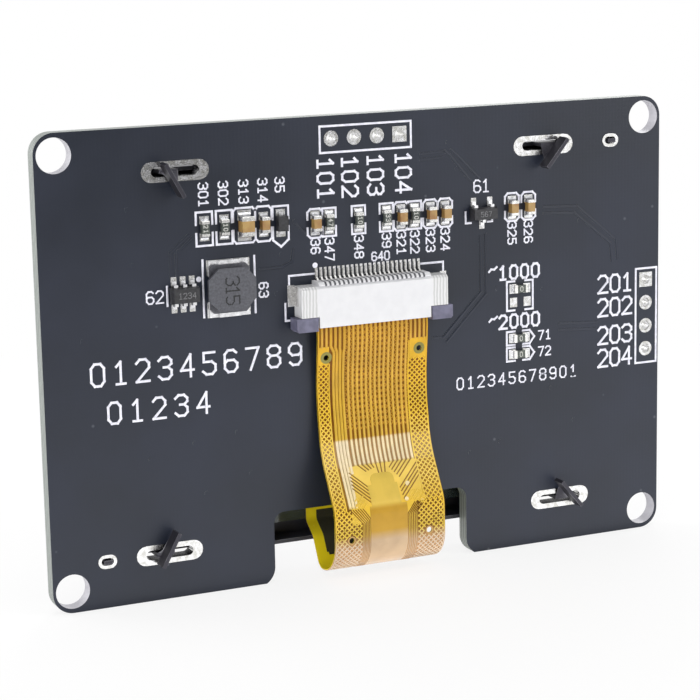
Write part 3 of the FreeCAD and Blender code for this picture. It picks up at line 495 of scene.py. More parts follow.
# %% How every tree starts and ends
def open_tree(title, inputs):
    """A new tree with a geometry input, the named inputs and a geometry output; returns the inputs."""
    tree = bpy.data.node_groups.new(title, "GeometryNodeTree")
    tree.interface.new_socket("Geometry", in_out="INPUT", socket_type="NodeSocketGeometry")
    for name, kind in inputs.items():
        tree.interface.new_socket(name, in_out="INPUT", socket_type="NodeSocket" + kind)
    tree.interface.new_socket("Geometry", in_out="OUTPUT", socket_type="NodeSocketGeometry")
    return tree, node(tree, "NodeGroupInput").outputs


def close_tree(tree, geometry, surface):
    """Makes copies real, since an export drops them otherwise, and gives the result its material."""
    real = node(tree, "GeometryNodeRealizeInstances", {"Geometry": geometry})
    covered = node(tree, "GeometryNodeSetMaterial", {"Geometry": real.outputs[0], "Material": surface})
    node(tree, "NodeGroupOutput", {"Geometry": covered.outputs[0]})
    return tree


# %% A tree that turns strokes into flat ribbons
def flat_ribbon(tree, strokes, width, height):
    """Sweeps a rectangle of the given width and height along the strokes, lying flat."""
    upright = node(tree, "GeometryNodeSetCurveNormal", {"Curve": strokes}, mode="Z_UP")
    section = node(tree, "GeometryNodeCurvePrimitiveQuadrilateral", {"Width": width, "Height": height})
    swept = node(tree, "GeometryNodeCurveToMesh", {"Curve": upright.outputs[0], "Fill Caps": True,
                                                   "Profile Curve": section.outputs[0]})
    return swept.outputs[0]


def ribbon_tree():
    tree, given = open_tree("Printed ribbon", {"Line Width": "Float", "Ink Thickness": "Float",
                                               "Face Height": "Float", "Surface": "Material"})
    ribbon = flat_ribbon(tree, given["Geometry"], given["Line Width"], given["Ink Thickness"])
    half = node(tree, "ShaderNodeMath", {0: given["Ink Thickness"], 1: 0.5}, operation="MULTIPLY")
    height = node(tree, "ShaderNodeMath", {0: given["Face Height"], 1: half.outputs[0]}, operation="ADD")
    shift = node(tree, "ShaderNodeCombineXYZ", {"Y": height.outputs[0]})
    stand = node(tree, "GeometryNodeTransform", {"Geometry": ribbon, "Translation": shift.outputs[0],
                                                 "Rotation": (math.pi / 2, 0.0, 0.0)})
    return close_tree(tree, stand.outputs[0], given["Surface"])


ribbons = ribbon_tree()
print("nodes in the ribbon tree:", len(ribbons.nodes))

# %% [markdown]
# ## From strokes to a plain piece
# A tree runs in a modifier, and its inputs are set by their identifiers before the object is first
# evaluated. The evaluated result is copied into a new mesh, so the finished piece has no modifier
# left. Ribbons that cross would share a plane and flicker, so strokes that follow each other lie
# at slightly different heights.

# %% Strokes as a curve, and a tree's result as a mesh
LEVELS = 4


def strokes_curve(name, strokes, rise):
    """One straight-sided spline for each stroke of (x, y) points; rise is the step between levels."""
    data = bpy.data.curves.new(name, "CURVE")
    data.dimensions = "3D"
    for count, points in enumerate(strokes):
        spline = data.splines.new("POLY")
        spline.points.add(len(points) - 1)
        for point, (x, y) in zip(spline.points, points):
            point.co = (x * MM, y * MM, (count % LEVELS) * rise * MM, 1.0)
    return add(name, data)


def grow(name, source, tree, **values):
    """Runs a tree on an object and keeps the result as a mesh object of its own."""
    modifier = source.modifiers.new("grow", "NODES")
    modifier.node_group = tree
    for item in tree.interface.items_tree:
        key = item.name.replace(" ", "_")
        if item.in_out == "INPUT" and key in values:
            modifier[item.identifier] = values[key]
    bpy.context.view_layer.update()
    seen = bpy.context.evaluated_depsgraph_get()
    made = add(name, bpy.data.meshes.new_from_object(source.evaluated_get(seen), depsgraph=seen))
    bpy.data.objects.remove(source)
    return made


def square_ends(points, half):
    """Splits a stroke at its corners and lengthens each run by half a line, so the corners fill."""
    runs = []
    for a, b in zip(points, points[1:]):
        way = Vector((b[0] - a[0], b[1] - a[1])).normalized() * half
        runs.append([(a[0] - way.x, a[1] - way.y), (b[0] + way.x, b[1] + way.y)])
    return runs


# %% [markdown]
# ## Plain numbers for labels
# Each label on the board is a plain number in a drawing-office stroke style. A digit is a list of
# points in a box 0.6 wide and 1 high, written once and set anywhere, at any size and quarter turn.

# %% Ten digits as strokes
DIGITS = {
    "0": [[(0.16, 0), (0.44, 0), (0.6, 0.2), (0.6, 0.8), (0.44, 1), (0.16, 1), (0, 0.8), (0, 0.2),
           (0.16, 0)]],
    "1": [[(0.12, 0.8), (0.32, 1), (0.32, 0)], [(0.12, 0), (0.52, 0)]],
    "2": [[(0, 0.84), (0.16, 1), (0.44, 1), (0.6, 0.82), (0.6, 0.62), (0, 0), (0.6, 0)]],
    "3": [[(0, 0.86), (0.16, 1), (0.44, 1), (0.6, 0.84), (0.6, 0.68), (0.44, 0.54), (0.24, 0.54)],
          [(0.44, 0.54), (0.6, 0.38), (0.6, 0.16), (0.44, 0), (0.16, 0), (0, 0.14)]],
    "4": [[(0.46, 0), (0.46, 1), (0, 0.3), (0.6, 0.3)]],
    "5": [[(0.56, 1), (0.04, 1), (0.04, 0.58), (0.42, 0.58), (0.6, 0.42), (0.6, 0.16), (0.44, 0), (0.16, 0),
           (0, 0.14)]],
    "6": [[(0.56, 0.88), (0.42, 1), (0.16, 1), (0, 0.82), (0, 0.18), (0.16, 0), (0.44, 0), (0.6, 0.18),
           (0.6, 0.38), (0.44, 0.54), (0.14, 0.54), (0, 0.42)]],
    "7": [[(0, 1), (0.6, 1), (0.2, 0)]],
    "8": [[(0.16, 0.54), (0, 0.68), (0, 0.86), (0.16, 1), (0.44, 1), (0.6, 0.86), (0.6, 0.68), (0.44, 0.54),
           (0.16, 0.54), (0, 0.38), (0, 0.16), (0.16, 0), (0.44, 0), (0.6, 0.16), (0.6, 0.38), (0.44, 0.54)]],
    "9": [[(0.04, 0.12), (0.18, 0), (0.44, 0), (0.6, 0.18), (0.6, 0.82), (0.44, 1), (0.16, 1), (0, 0.82),
           (0, 0.62), (0.16, 0.46), (0.46, 0.46), (0.6, 0.58)]],
}


def number(text, x, z, height, pitch, turned=False):
    """Strokes of a number whose first digit's lower left corner is at x, z, read from behind."""
    made = []
    for i, sign in enumerate(text):
        for stroke in DIGITS[sign]:
            run = [(u * height + i * pitch, v * height) for u, v in stroke]
            if turned:
                made.append([(x - v, z - u) for u, v in run])
            else:
                made.append([(x - u, z + v) for u, v in run])
    return made


def box_strokes(x0, x1, z0, z1):
    return [[(x0, z0), (x1, z0)], [(x1, z0), (x1, z1)], [(x1, z1), (x0, z1)], [(x0, z1), (x0, z0)]]


print("strokes in the ten digits:", sum(len(strokes) for strokes in DIGITS.values()))

# %% [markdown]
# ## Where the lines go
# Outlines tell a hand placer which part goes where. Resistors have square brackets, capacitors
# have clipped corners, and the diode's outline ends in an arrow. All places are in millimetres
# from the middle of the four mounting holes, as the solids are.

# %% Outlines round the chip parts
def brackets(x, half, z0, z1, gap, cut):
    """Two facing brackets round a chip part; gap is the open part of each side."""
    middle = (z0 + z1) / 2
    made = []
    for end, side in ((z1, 1), (z0, -1)):
        near = middle + side * gap / 2
        made.append([(x + half, near), (x + half, end - side * cut), (x + half - cut, end),
                     (x - half + cut, end), (x - half, end - side * cut), (x - half, near)])
    return made


SIDE_GAP = 0.9
marks = []
for part, half, low, high, cut in (
        ("resistor_01", 0.86, 11.75, 15.1, 0.0), ("resistor_02", 0.84, 11.75, 15.1, 0.0),
        ("capacitor_01", 1.18, 11.7, 15.2, 0.3), ("capacitor_02", 0.88, 11.7, 15.2, 0.3)):
    marks += brackets(chip_x[part] / MM, half, low, high, SIDE_GAP, cut)
for i in range(3, 7):
    marks += brackets(chip_x[f"resistor_0{i}"] / MM, 0.74, 11.65, 14.5, SIDE_GAP, 0.0)
for i in range(3, 9):
    marks += brackets(chip_x[f"capacitor_0{i}"] / MM, 0.82, 11.6, 14.52, SIDE_GAP, 0.32)
print("strokes round the chip parts:", len(marks))

# %% Outlines round the other parts
# The two rows of pin holes have a whole box each.
marks += box_strokes(5.05, -5.1, 20.1, 22.76) + box_strokes(-31.9, -34.5, -5.2, 5.2)
# The diode's outline is an arrow below and a bracket above.
arrow_x, half = chip_x["diode"] / MM, 0.84
marks += [[(arrow_x + half, 13.0), (arrow_x + half, 11.7), (arrow_x, 11.0), (arrow_x - half, 11.7),
           (arrow_x - half, 13.0)],
          [(arrow_x + half, 13.8), (arrow_x + half, 15.1), (arrow_x - half, 15.1), (arrow_x - half, 13.8)]]
# The regulator has two corners, the converter one side line and the inductor two.
marks += [[(-11.3, 12.9), (-11.3, 11.75), (-11.9, 11.75)], [(-14.4, 12.4), (-14.4, 11.75), (-13.9, 11.75)]]
marks += [[(21.75, 8.0), (21.75, 6.1)], [(17.95, 10.3), (17.95, 4.6)], [(12.45, 10.3), (12.45, 4.6)]]
# The connector has three corners.
marks += [[(8.75, 7.0), (8.75, 7.95), (6.0, 7.95)], [(-6.1, 7.95), (-8.6, 7.95), (-8.6, 7.1)],
          [(9.2, 5.15), (9.2, 3.4), (8.1, 3.4)]]
# The places for links at the right have brackets, and the lower two end in an arrow.
marks += [[(-17.0, 5.15), (-16.1, 5.15), (-16.1, 2.05), (-17.0, 2.05)],
          [(-18.3, 5.15), (-19.2, 5.15), (-19.2, 2.05), (-18.3, 2.05)]]
half = 0.72
for part in ("resistor_08", "resistor_09"):
    z = chip_z[part] / MM
    marks += [[(-17.0, z + half), (-16.05, z + half), (-16.05, z - half), (-17.0, z - half)],
              [(-18.0, z + half), (-18.8, z + half), (-19.35, z), (-18.8, z - half), (-18.0, z - half)]]
# A small wave stands before each of the two four-digit numbers.
for z in (5.9, 0.6):
    marks.append([(-14.0, z + 0.5), (-14.25, z + 0.75), (-14.6, z + 0.72), (-14.9, z + 0.95)])
print("outline strokes:", len(marks))

# %% [markdown]
# ## Labels
# The labels are plain numbers, large and small. Together with the outlines they take three line
# widths, so the strokes are gathered by width, and each width becomes one piece.

# %% Labels, all plain numbers
labels = number("0123456789", 29.9, -1.2, 2.2, 2.33) + number("01234", 28.3, -5.1, 2.1, 2.33)
for text, x in (("101", 5.35), ("102", 2.65), ("103", -0.2), ("104", -3.35)):
    labels += number(text, x, 19.55, 1.7, 1.5, turned=True)
for text, z in (("201", 2.95), ("202", 0.4), ("203", -2.65), ("204", -5.15)):
    labels += number(text, -27.25, z, 1.85, 1.5)
labels += number("1000", -15.2, 5.45, 1.4, 1.3) + number("2000", -15.2, 0.2, 1.4, 1.3)
small = number("61", -12.3, 14.9, 1.25, 1.0) + number("62", 23.9, 6.45, 1.2, 1.0)
small += number("640", -0.5, 8.72, 0.85, 0.72) + number("63", 12.0, 7.5, 0.95, 0.85, turned=True)
small += number("71", -19.9, -1.4, 0.95, 0.85) + number("72", -19.9, -3.15, 0.95, 0.85)
above = ("resistor_01", "resistor_02", "capacitor_01", "capacitor_02", "diode")
below = ("capacitor_03", "resistor_03", "resistor_04", "resistor_05", "capacitor_04", "resistor_06",
         "capacitor_05", "capacitor_06", "capacitor_07", "capacitor_08")
plain = ("301", "302", "313", "314", "35", "36", "347", "348", "39", "321", "322", "323", "324", "325", "326")
for text, part in zip(plain, above + below):
    top = 17.95 if part in above else 11.42
    small += number(text, chip_x[part] / MM + 0.48, top, 0.95, 0.84, turned=True)
small += number("012345678901", -10.1, -5.8, 1.2, 1.24)
print("label strokes:", len(labels) + len(small))

# %% Ink, and the printed pieces
def dress(piece):
    """Every finished piece rides on the part's one body."""
    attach(piece, "root")
    print(piece.name, len(piece.data.polygons), "faces")
    return piece


def print_lines(name, strokes, width, thickness, face, surface, rise):
    """Ribbons of one width on a face, as one piece; sizes in mm, but the face's height in metres."""
    runs = [run for stroke in strokes for run in square_ends(stroke, width / 2)]
    return dress(grow(name, strokes_curve(name, runs, -rise), ribbons, Line_Width=width * MM,
                      Ink_Thickness=thickness * MM, Face_Height=face, Surface=surface))


ink = grained("screen-printed white ink", "#dcdce8", "#f0f0fa", 0.5, 0.5, 0.006, IOR=1.5)
for name, strokes, width in (("print_outlines", marks, 0.22), ("print_labels", labels, 0.25),
                             ("print_small_labels", small, 0.16)):
    print_lines(name, strokes, width, 0.02, REAR, ink, rise=0.005)

# %% [markdown]
# ## Tracks and filled holes under the lacquer
# Copper tracks raise the lacquer by a few hundredths of a millimetre, so they show only as faint
# ridges, and so do the small filled holes that join the layers. The ribbon tree serves again with
# the board's own material. The dots repeat, so a second tree sets one disc on every point.

# %% Faint tracks
ridges = [[(-9.0, 19.4), (-9.6, 18.9), (-11.9, 16.2)], [(-9.7, 19.5), (-10.4, 18.9), (-12.9, 16.4)],
          [(-6.2, 19.3), (-8.75, 19.38)], [(-6.2, 18.7), (-8.6, 18.8)],
          [(-13.0, 10.2), (-13.0, 4.4), (-8.6, 0.0), (-7.4, 0.0)],
          [(-13.6, 10.4), (-13.6, 4.1), (-9.0, -0.5)],
          [(-20.6, 12.8), (-24.6, 12.6), (-29.4, 8.6), (-29.6, 6.6)],
          [(-20.6, 12.1), (-24.3, 11.9), (-28.7, 8.3), (-28.9, 6.4)],
          [(21.3, 8.9), (21.3, 11.3), (19.4, 12.9)], [(20.7, 8.9), (20.7, 11.1), (19.0, 12.6)],
          [(8.2, 10.6), (8.4, 9.4), (9.6, 8.9), (11.8, 8.9)], [(8.1, 13.4), (5.9, 11.4)],
          [(-22.5, -0.6), (-27.0, -0.9)], [(-22.5, 0.1), (-27.0, -0.2)]]
print_lines("track_ridges", ridges, 0.3, 0.022, REAR, finishes["board"], rise=0.003)

# %% Filled holes as repeated discs
def dots_tree():
    tree, given = open_tree("Discs on points", {"Disc Radius": "Float", "Disc Height": "Float",
                                                "Surface": "Material"})
    disc = node(tree, "GeometryNodeMeshCylinder", {"Vertices": 16, "Radius": given["Disc Radius"],
                                                   "Depth": given["Disc Height"]})
    spread = node(tree, "GeometryNodeMeshToPoints", {"Mesh": given["Geometry"]})
    placed = node(tree, "GeometryNodeInstanceOnPoints", {"Points": spread.outputs[0],
                                                         "Instance": disc.outputs[0],
                                                         "Rotation": (math.pi / 2, 0.0, 0.0)})
    return close_tree(tree, placed.outputs[0], given["Surface"])


dots = dots_tree()


def board_discs(name, places, radius, height, face, surface):
    """Discs at (x, z) places on a face, half sunk in it; sizes in mm, but the face's in metres."""
    points = add_mesh(name, [(x * MM, face, z * MM) for x, z in places])
    return dress(grow(name, points, dots, Disc_Radius=radius * MM, Disc_Height=height * MM, Surface=surface))


filled = [(19.9, 16.9), (20.4, 11.4), (7.9, 13.4), (9.5, 10.2), (10.1, 6.3), (25.6, 15.9), (25.2, 10.4),
          (-9.3, 20.3), (-10.3, 17.5), (2.6, 16.9), (24.1, -9.2), (19.4, -8.1), (14.8, -7.5), (18.3, -13.4),
          (13.4, -11.9), (-21.4, -6.8), (-24.1, -5.6), (-15.2, -12.0), (-24.2, -10.6), (-11.6, -12.8),
          (-15.0, 4.6), (-20.4, 4.0), (-24.9, 11.0), (30.6, 3.4)]
board_discs("filled_holes", filled, 0.24, 0.05, REAR, finishes["board"])
board_discs("print_dots", [(5.85, 8.8), (18.4, 8.45)], 0.28, 0.05, REAR, ink)

# %% [markdown]
# ## The comb at the back of the connector
# The housing's back wall is a comb: a white rib stands behind every contact, and the openings between the
# ribs look dark. Their dark is painted shade: one strip is drawn on the wall, following it and its bevelled
# top edge, and a small tree repeats it at the contacts' pitch.

# %% Painted shade of the openings, repeated along the wall
def row_tree():
    tree, given = open_tree("Row of copies", {"Copies": "Int", "Pitch": "Float", "Surface": "Material"})
    step = node(tree, "ShaderNodeCombineXYZ", {"X": given["Pitch"]})
    places = node(tree, "GeometryNodeMeshLine", {"Count": given["Copies"], "Offset": step.outputs[0]},
                  mode="OFFSET")
    copies = node(tree, "GeometryNodeInstanceOnPoints", {"Points": places.outputs[0],
                                                         "Instance": given["Geometry"]})
    return close_tree(tree, copies.outputs[0], given["Surface"])


CONTACTS = 24
CONTACT_PITCH = 0.5
SHADE_STRIP_HALF = 0.11
WALL_BEVEL = 0.25
PROUD, SUNK = 0.006, 0.02
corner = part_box("connector_housing")[1] / MM
foot, lip = REAR / MM + 0.66, 0.14
profile = [(foot, corner.z), (corner.y - WALL_BEVEL, corner.z), (corner.y, corner.z - WALL_BEVEL),
           (corner.y, corner.z - WALL_BEVEL - lip)]
outline = [(y + PROUD, z + PROUD) for y, z in profile] + [(y - SUNK, z - SUNK) for y, z in reversed(profile)]
first = -(CONTACTS - 2) / 2 * CONTACT_PITCH
corners = [(x * MM, y * MM, z * MM) for x in (first - SHADE_STRIP_HALF, first + SHADE_STRIP_HALF) for y, z in outline]
count = len(outline)
faces = [(i, (i + 1) % count, (i + 1) % count + count, i + count) for i in range(count)]
for i in range(len(profile) - 1):
    faces.append((i, count - 1 - i, count - 2 - i, i + 1))
    faces.append((i + count, i + 1 + count, 2 * count - 2 - i, 2 * count - 1 - i))
# A dark strip of painted shade lies on the wall in each opening.
shade = grained("shaded opening between nylon ribs", "#47474c", "#606066", 0.3, 0.6, 0.004, IOR=1.5)
dress(grow("connector_comb", add_mesh("comb_opening", corners, faces), row_tree(), Copies=CONTACTS - 1,
           Pitch=CONTACT_PITCH * MM, Surface=shade))

# %% [markdown]
# ## Numbers on the parts themselves
# Chip resistors carry a pale printed number, and moulded parts a laser-marked one that is only a
# little lighter than the plastic. The inductor is marked by an ink jet, so its number is a row of
# dark dots. The same strokes serve, at the height of each part's own top.

# %% Plain numbers on the tops of the parts
pale_ink = grained("baked pale marking ink", "#b4b4ae", "#cdcdc8", 0.3, 0.5, 0.004, IOR=1.5)
laser = grained("laser-marked epoxy", "#5c5c5e", "#77777a", 0.2, 0.6, 0.006, IOR=1.5)
jet_ink = grained("dark ink jet dots", "#0d0d0f", "#151518", 0.2, 0.5, 0.003, IOR=1.5)
codes = []
for i, text in enumerate(("21", "10", "47", "10", "33", "10"), 1):
    part = f"resistor_0{i}"
    codes += number(text, chip_x[part] / MM + 0.21, chip_z[part] / MM + 0.36, 0.42, 0.44, turned=True)
for part in ("resistor_07", "resistor_08", "resistor_09"):
    codes += number("0", chip_x[part] / MM + 0.15, chip_z[part] / MM - 0.24, 0.48, 0.4)
converter_marks = number("1234", chip_x["converter_chip"] / MM + 0.85, 6.85, 0.55, 0.48)
regulator_marks = number("567", chip_x["regulator_chip"] / MM + 0.6, 12.45, 0.5, 0.45)
for name, strokes, surface, part in (("marks_resistors", codes, pale_ink, "resistor_01"),
                                     ("marks_converter", converter_marks, laser, "converter_chip"),
                                     ("marks_regulator", regulator_marks, laser, "regulator_chip")):
    print_lines(name, strokes, 0.07, 0.01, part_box(part)[1].y, surface, rise=0.002)

# %% A number in dots on the inductor
DOT_SPACING = 0.15
dotted = []
for stroke in number("315", chip_x["inductor_core"] / MM + 0.7, chip_z["inductor_core"] / MM + 1.25,
                     1.4, 0.95, turned=True):
    for a, b in zip(stroke, stroke[1:]):
        steps = max(1, round(math.dist(a, b) / DOT_SPACING))
        dotted += [tuple(Vector(a).lerp(Vector(b), i / steps)) for i in range(steps)]
board_discs("marks_inductor", dotted, 0.085, 0.014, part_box("inductor_core")[1].y, jet_ink)

# %% [markdown]
# ## The film cable
# The cable is one flat printed film, 12.5 mm wide, that was bent into place. So it is drawn flat,
# as its maker would draw it, and wrapped onto its route by a node tree. Flat places are (across,
# along, lift), along being the distance from the end in the connector. The route is a row of
# corners with bend radii, seen from the side; the free film sags, rises to clear the board's
# lower edge, and returns through the notch to the glass.

# %% The route and the holes of the film
FILM_THICKNESS = 0.12
OUTER = FILM_THICKNESS / 2
HALF = FILM_HALF / MM
FILM_LENGTH = 39.0
FILM_HOLES = [(5.25, 6.55), (-5.25, 6.55), (4.4, 25.85), (-4.4, 25.85)]
FILM_HOLE_RADIUS = 0.3
# Each corner is (y, z, bend radius) in mm.
ROUTE = [(2.66, 5.9, 0), (2.66, 1.2, 16), (2.02, -4.2, 20), (2.88, -10.6, 9), (6.05, -16.1, 3.2),
         (6.05, -22.6, 3.3), (1.95, -22.75, 1.2), (0.4, -19.8, 1.6), (-1.34, -18.55, 0.7), (-1.34, -16.9, 0)]

data = bpy.data.curves.new("film_route", "CURVE")
data.dimensions = "3D"
spline = data.splines.new("POLY")
spline.points.add(len(ROUTE) - 1)
for point, (y, z, radius) in zip(spline.points, ROUTE):
    point.co = (0.0, y * MM, z * MM, 1.0)
    point.radius = radius * MM
route = add("film_route", data)
hole_points = add_mesh("film_hole_points", [(x * MM, a * MM, 0.0) for x, a in FILM_HOLES])
print("corners of the route:", len(ROUTE), "- holes in the film:", len(FILM_HOLES))

# %% [markdown]
# ## Wrapping flat artwork onto the route
# Sample Curve gives the place and the direction at any length along a curve. The flat piece's
# second coordinate is used as that length, so the film keeps its true length round every bend. The
# third is a lift along the normal, which is the cross product of the X axis and the direction. The
# flat place is stored on every point first, because the film's colours are looked up by it.

# %% Wrapping as a group of nodes
BEND_POINTS = 24


def wrapped(tree, flat, route_input):
    """Moves flat geometry onto the route: along becomes arc length, lift goes along the normal."""
    here = node(tree, "GeometryNodeInputPosition").outputs[0]
    kept = node(tree, "GeometryNodeStoreNamedAttribute", {"Geometry": flat, "Name": "flat", "Value": here},
                data_type="FLOAT_VECTOR", domain="POINT")
    path = node(tree, "GeometryNodeObjectInfo", {"Object": route_input})
    radius = node(tree, "GeometryNodeInputRadius").outputs[0]
    bends = node(tree, "GeometryNodeFilletCurve", {"Curve": path.outputs["Geometry"], "Count": BEND_POINTS,
                                                   "Radius": radius}, mode="POLY")
    parts = node(tree, "ShaderNodeSeparateXYZ", {"Vector": here})
    spot = node(tree, "GeometryNodeSampleCurve", {"Curves": bends.outputs[0], "Length": parts.outputs["Y"]},
                mode="LENGTH", use_all_curves=True)
    outward = node(tree, "ShaderNodeVectorMath", {0: (1.0, 0.0, 0.0), 1: spot.outputs["Tangent"]},
                   operation="CROSS_PRODUCT")
    lift = node(tree, "ShaderNodeVectorMath", {0: outward.outputs[0], "Scale": parts.outputs["Z"]},
                operation="SCALE")
    across = node(tree, "ShaderNodeCombineXYZ", {"X": parts.outputs["X"]})
    beside = node(tree, "ShaderNodeVectorMath", {0: spot.outputs["Position"], 1: across.outputs[0]},
                  operation="ADD")
    place = node(tree, "ShaderNodeVectorMath", {0: beside.outputs[0], 1: lift.outputs[0]}, operation="ADD")
    bent = node(tree, "GeometryNodeSetPosition", {"Geometry": kept.outputs[0], "Position": place.outputs[0]})
    return bent.outputs[0]


# %% [markdown]
# ## Plates and lines
# Two trees share that group. One punches the holes while the plate is still flat, where a hole is
# a plain upright cylinder, and then bends it. The other sweeps a narrow rectangle along strokes,
# which are cut into short steps first, because a straight stroke has no points that could bend.

# %% Two trees: punched plates, and lines
LINE_STEP = 0.35


def plate_tree():
    tree, given = open_tree("Punched and bent plate", {"Route": "Object", "Hole Points": "Object",
                                                       "Hole Radius": "Float", "Surface": "Material"})
    points = node(tree, "GeometryNodeObjectInfo", {"Object": given["Hole Points"]})
    spread = node(tree, "GeometryNodeMeshToPoints", {"Mesh": points.outputs["Geometry"]})
    punch = node(tree, "GeometryNodeMeshCylinder", {"Vertices": 20, "Radius": given["Hole Radius"],
                                                    "Depth": MM})
    punches = node(tree, "GeometryNodeInstanceOnPoints", {"Points": spread.outputs[0],
                                                          "Instance": punch.outputs[0]})
    punched = node(tree, "GeometryNodeMeshBoolean", {"Mesh 1": given["Geometry"],
                                                     "Mesh 2": punches.outputs[0]},
                   operation="DIFFERENCE", solver="EXACT")
    return close_tree(tree, wrapped(tree, punched.outputs[0], given["Route"]), given["Surface"])


def line_tree():
    tree, given = open_tree("Bent line", {"Route": "Object", "Line Width": "Float", "Line Height": "Float",
                                          "Base Lift": "Float", "Surface": "Material"})
    cut = node(tree, "GeometryNodeResampleCurve", {"Curve": given["Geometry"], "Length": LINE_STEP * MM},
               mode="LENGTH")
    ribbon = flat_ribbon(tree, cut.outputs[0], given["Line Width"], given["Line Height"])
    lift = node(tree, "ShaderNodeCombineXYZ", {"Z": given["Base Lift"]})
    raised = node(tree, "GeometryNodeTransform", {"Geometry": ribbon, "Translation": lift.outputs[0]})
    return close_tree(tree, wrapped(tree, raised.outputs[0], given["Route"]), given["Surface"])


plates = plate_tree()
lines = line_tree()
print("nodes in the plate tree and the line tree:", len(plates.nodes), len(lines.nodes))

# %% [markdown]
# ## The film itself
# A flat box has no edges between its ends, so it would stay straight when it is wrapped. Cutting
# it across every 0.3 mm gives it edges to bend at. The sharp angle for smooth shading is small
# enough to keep the film's own edges crisp.

# %% Flat plates, cut across so that they can bend
FOLD_STEP = 0.3
DISC_SIDES = 28
WELD = 1e-9


def flat_plates(name, boxes, discs=()):
    """Boxes are (x0, x1, along0, along1, lift0, lift1), discs (x, along, radius, lift0, lift1)."""
    shape = bmesh.new()
    for x0, x1, a0, a1, low, high in boxes:
        middle = Vector((x0 + x1, a0 + a1, low + high)) * MM / 2
        size = Matrix.Diagonal(((x1 - x0) * MM, (a1 - a0) * MM, (high - low) * MM, 1.0))
        bmesh.ops.create_cube(shape, size=1.0, matrix=Matrix.Translation(middle) @ size)
    for x, a, radius, low, high in discs:
        middle = Vector((x, a, (low + high) / 2)) * MM
        bmesh.ops.create_cone(shape, cap_ends=True, segments=DISC_SIDES, radius1=radius * MM,
                              radius2=radius * MM, depth=(high - low) * MM,
                              matrix=Matrix.Translation(middle))
    for step in range(1, int(FILM_LENGTH / FOLD_STEP) + 1):
        everything = shape.verts[:] + shape.edges[:] + shape.faces[:]
        bmesh.ops.bisect_plane(shape, geom=everything, dist=WELD, plane_co=(0, step * FOLD_STEP * MM, 0),
                               plane_no=(0, 1, 0))
    mesh = bpy.data.meshes.new(name)
    shape.to_mesh(mesh)
    shape.free()
    return add(name, mesh)


# %% The film, smooth along its bends
SHARP = 30
blank = flat_plates("flex_film", [(-HALF, HALF, 0.0, FILM_LENGTH, -OUTER, OUTER)])
film = grow("flex_film", blank, plates, Route=route, Hole_Points=hole_points,
            Hole_Radius=FILM_HOLE_RADIUS * MM, Surface=finishes["flex_film"])
film.data.shade_smooth()
film.data.set_sharp_from_angle(angle=math.radians(SHARP))
dress(film)
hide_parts("flex_cable")

# %% [markdown]
# ## The artwork of the cable
# Twenty-four tracks leave the connector. The outer six end in small copper planes round the two
# upper holes, four bend in to run close together, and the other fourteen go straight down to the
# fan that leads to the driver chip on the other side. A fine copper mesh fills both borders, so
# that the film stays supple there. All of it is drawn flat, in millimetres across and along.

# %% Tracks
TRACK_START = 3.0
FAN_TOP = 18.2
ARTWORK_END = 33.0
track_x = [(CONTACTS / 2 - 0.5 - i) * CONTACT_PITCH for i in range(CONTACTS)]
straight = [[(x, TRACK_START), (x, FAN_TOP)] for x in track_x[6:20]]
short = [[(x, TRACK_START), (x, 5.5)] for x in track_x[:2] + track_x[20:]]
bent_in = []
for i, x in enumerate(track_x[2:6]):
    x_below = 4.4 - 0.36 * i
    bend = 5.4 + 0.15 * i
    turned = bend + x - x_below + 0.3
    bent_in += [[(x, TRACK_START), (x, bend)], [(x, bend), (x_below, turned)]]
    bent_in.append([(x_below, turned), (x_below, 22.6 if i < 3 else 19.0)])
print("tracks:", len(straight) + len(short) + len(bent_in) // 3)

# %% Gaps where the tracks run close
# Where tracks nearly touch it is the dark gaps that are seen, so these are the lines drawn there.
gaps = [[(3.7, 18.8 + 0.42 * i), (1.95, 20.55 + 0.42 * i)] for i in range(5)]
gaps += [[(2.5 - 0.5 * i, 18.15), (1.75 - 0.32 * i, 18.9 - 0.1 * i)] for i in range(4)]
gaps += [[(0.5 - 0.5 * i, 18.15), (0.4 - 0.36 * i, 19.2)] for i in range(3)]
gaps += [[(-3.5 + 0.5 * i, 18.15), (-1.75 + 0.22 * i, 19.9 - 0.28 * i)] for i in range(5)]
gaps += [[(-4.0, 18.6 + 0.45 * i), (-1.55 - 0.05 * i, 21.05 + 0.4 * i)] for i in range(4)]
low_gaps = []
for i in range(6):
    x_left, x_right, turn = 3.05 - 0.16 * i, -3.0 + 0.2 * i, 24.3 - 0.1 * i
    low_gaps += [[(4.45 - 0.28 * i, 22.7), (x_left, turn)], [(x_left, turn), (x_left, ARTWORK_END)]]
    low_gaps += [[(-3.95 + 0.22 * i, 22.7), (x_right, 23.75)], [(x_right, 23.75), (x_right, ARTWORK_END)]]
print("gap lines:", len(gaps) + len(low_gaps))

# %% [markdown]
# ## Copper mesh
# Two sets of parallel lines at 45 degrees cross in each band. A line enters the band at one edge
# and leaves at another, so its ends follow from how far it has reached, and the shortest corner
# pieces are left out. Where a hole is in the way, the line is cut short of it.

# %% Copper mesh in the borders
MESH_PITCH = 0.56
MESH_EDGE = 6.12
SHORTEST = 0.1
NEAR_HOLE = 0.5


def mesh_lines(x0, x1, a0, a1):
    """Two sets of slanting lines that fill a band from x0 to x1 and a0 to a1."""
    made = []
    width, length = x1 - x0, a1 - a0
    for step in range(1, int((width + length) / MESH_PITCH) + 1):
        reach = step * MESH_PITCH
        t0, t1 = max(0.0, reach - length), min(width, reach)
        if t1 - t0 > SHORTEST:
            made.append([(x0 + t0, a0 + reach - t0), (x0 + t1, a0 + reach - t1)])
            made.append([(x1 - t0, a0 + reach - t0), (x1 - t1, a0 + reach - t1)])
    return made


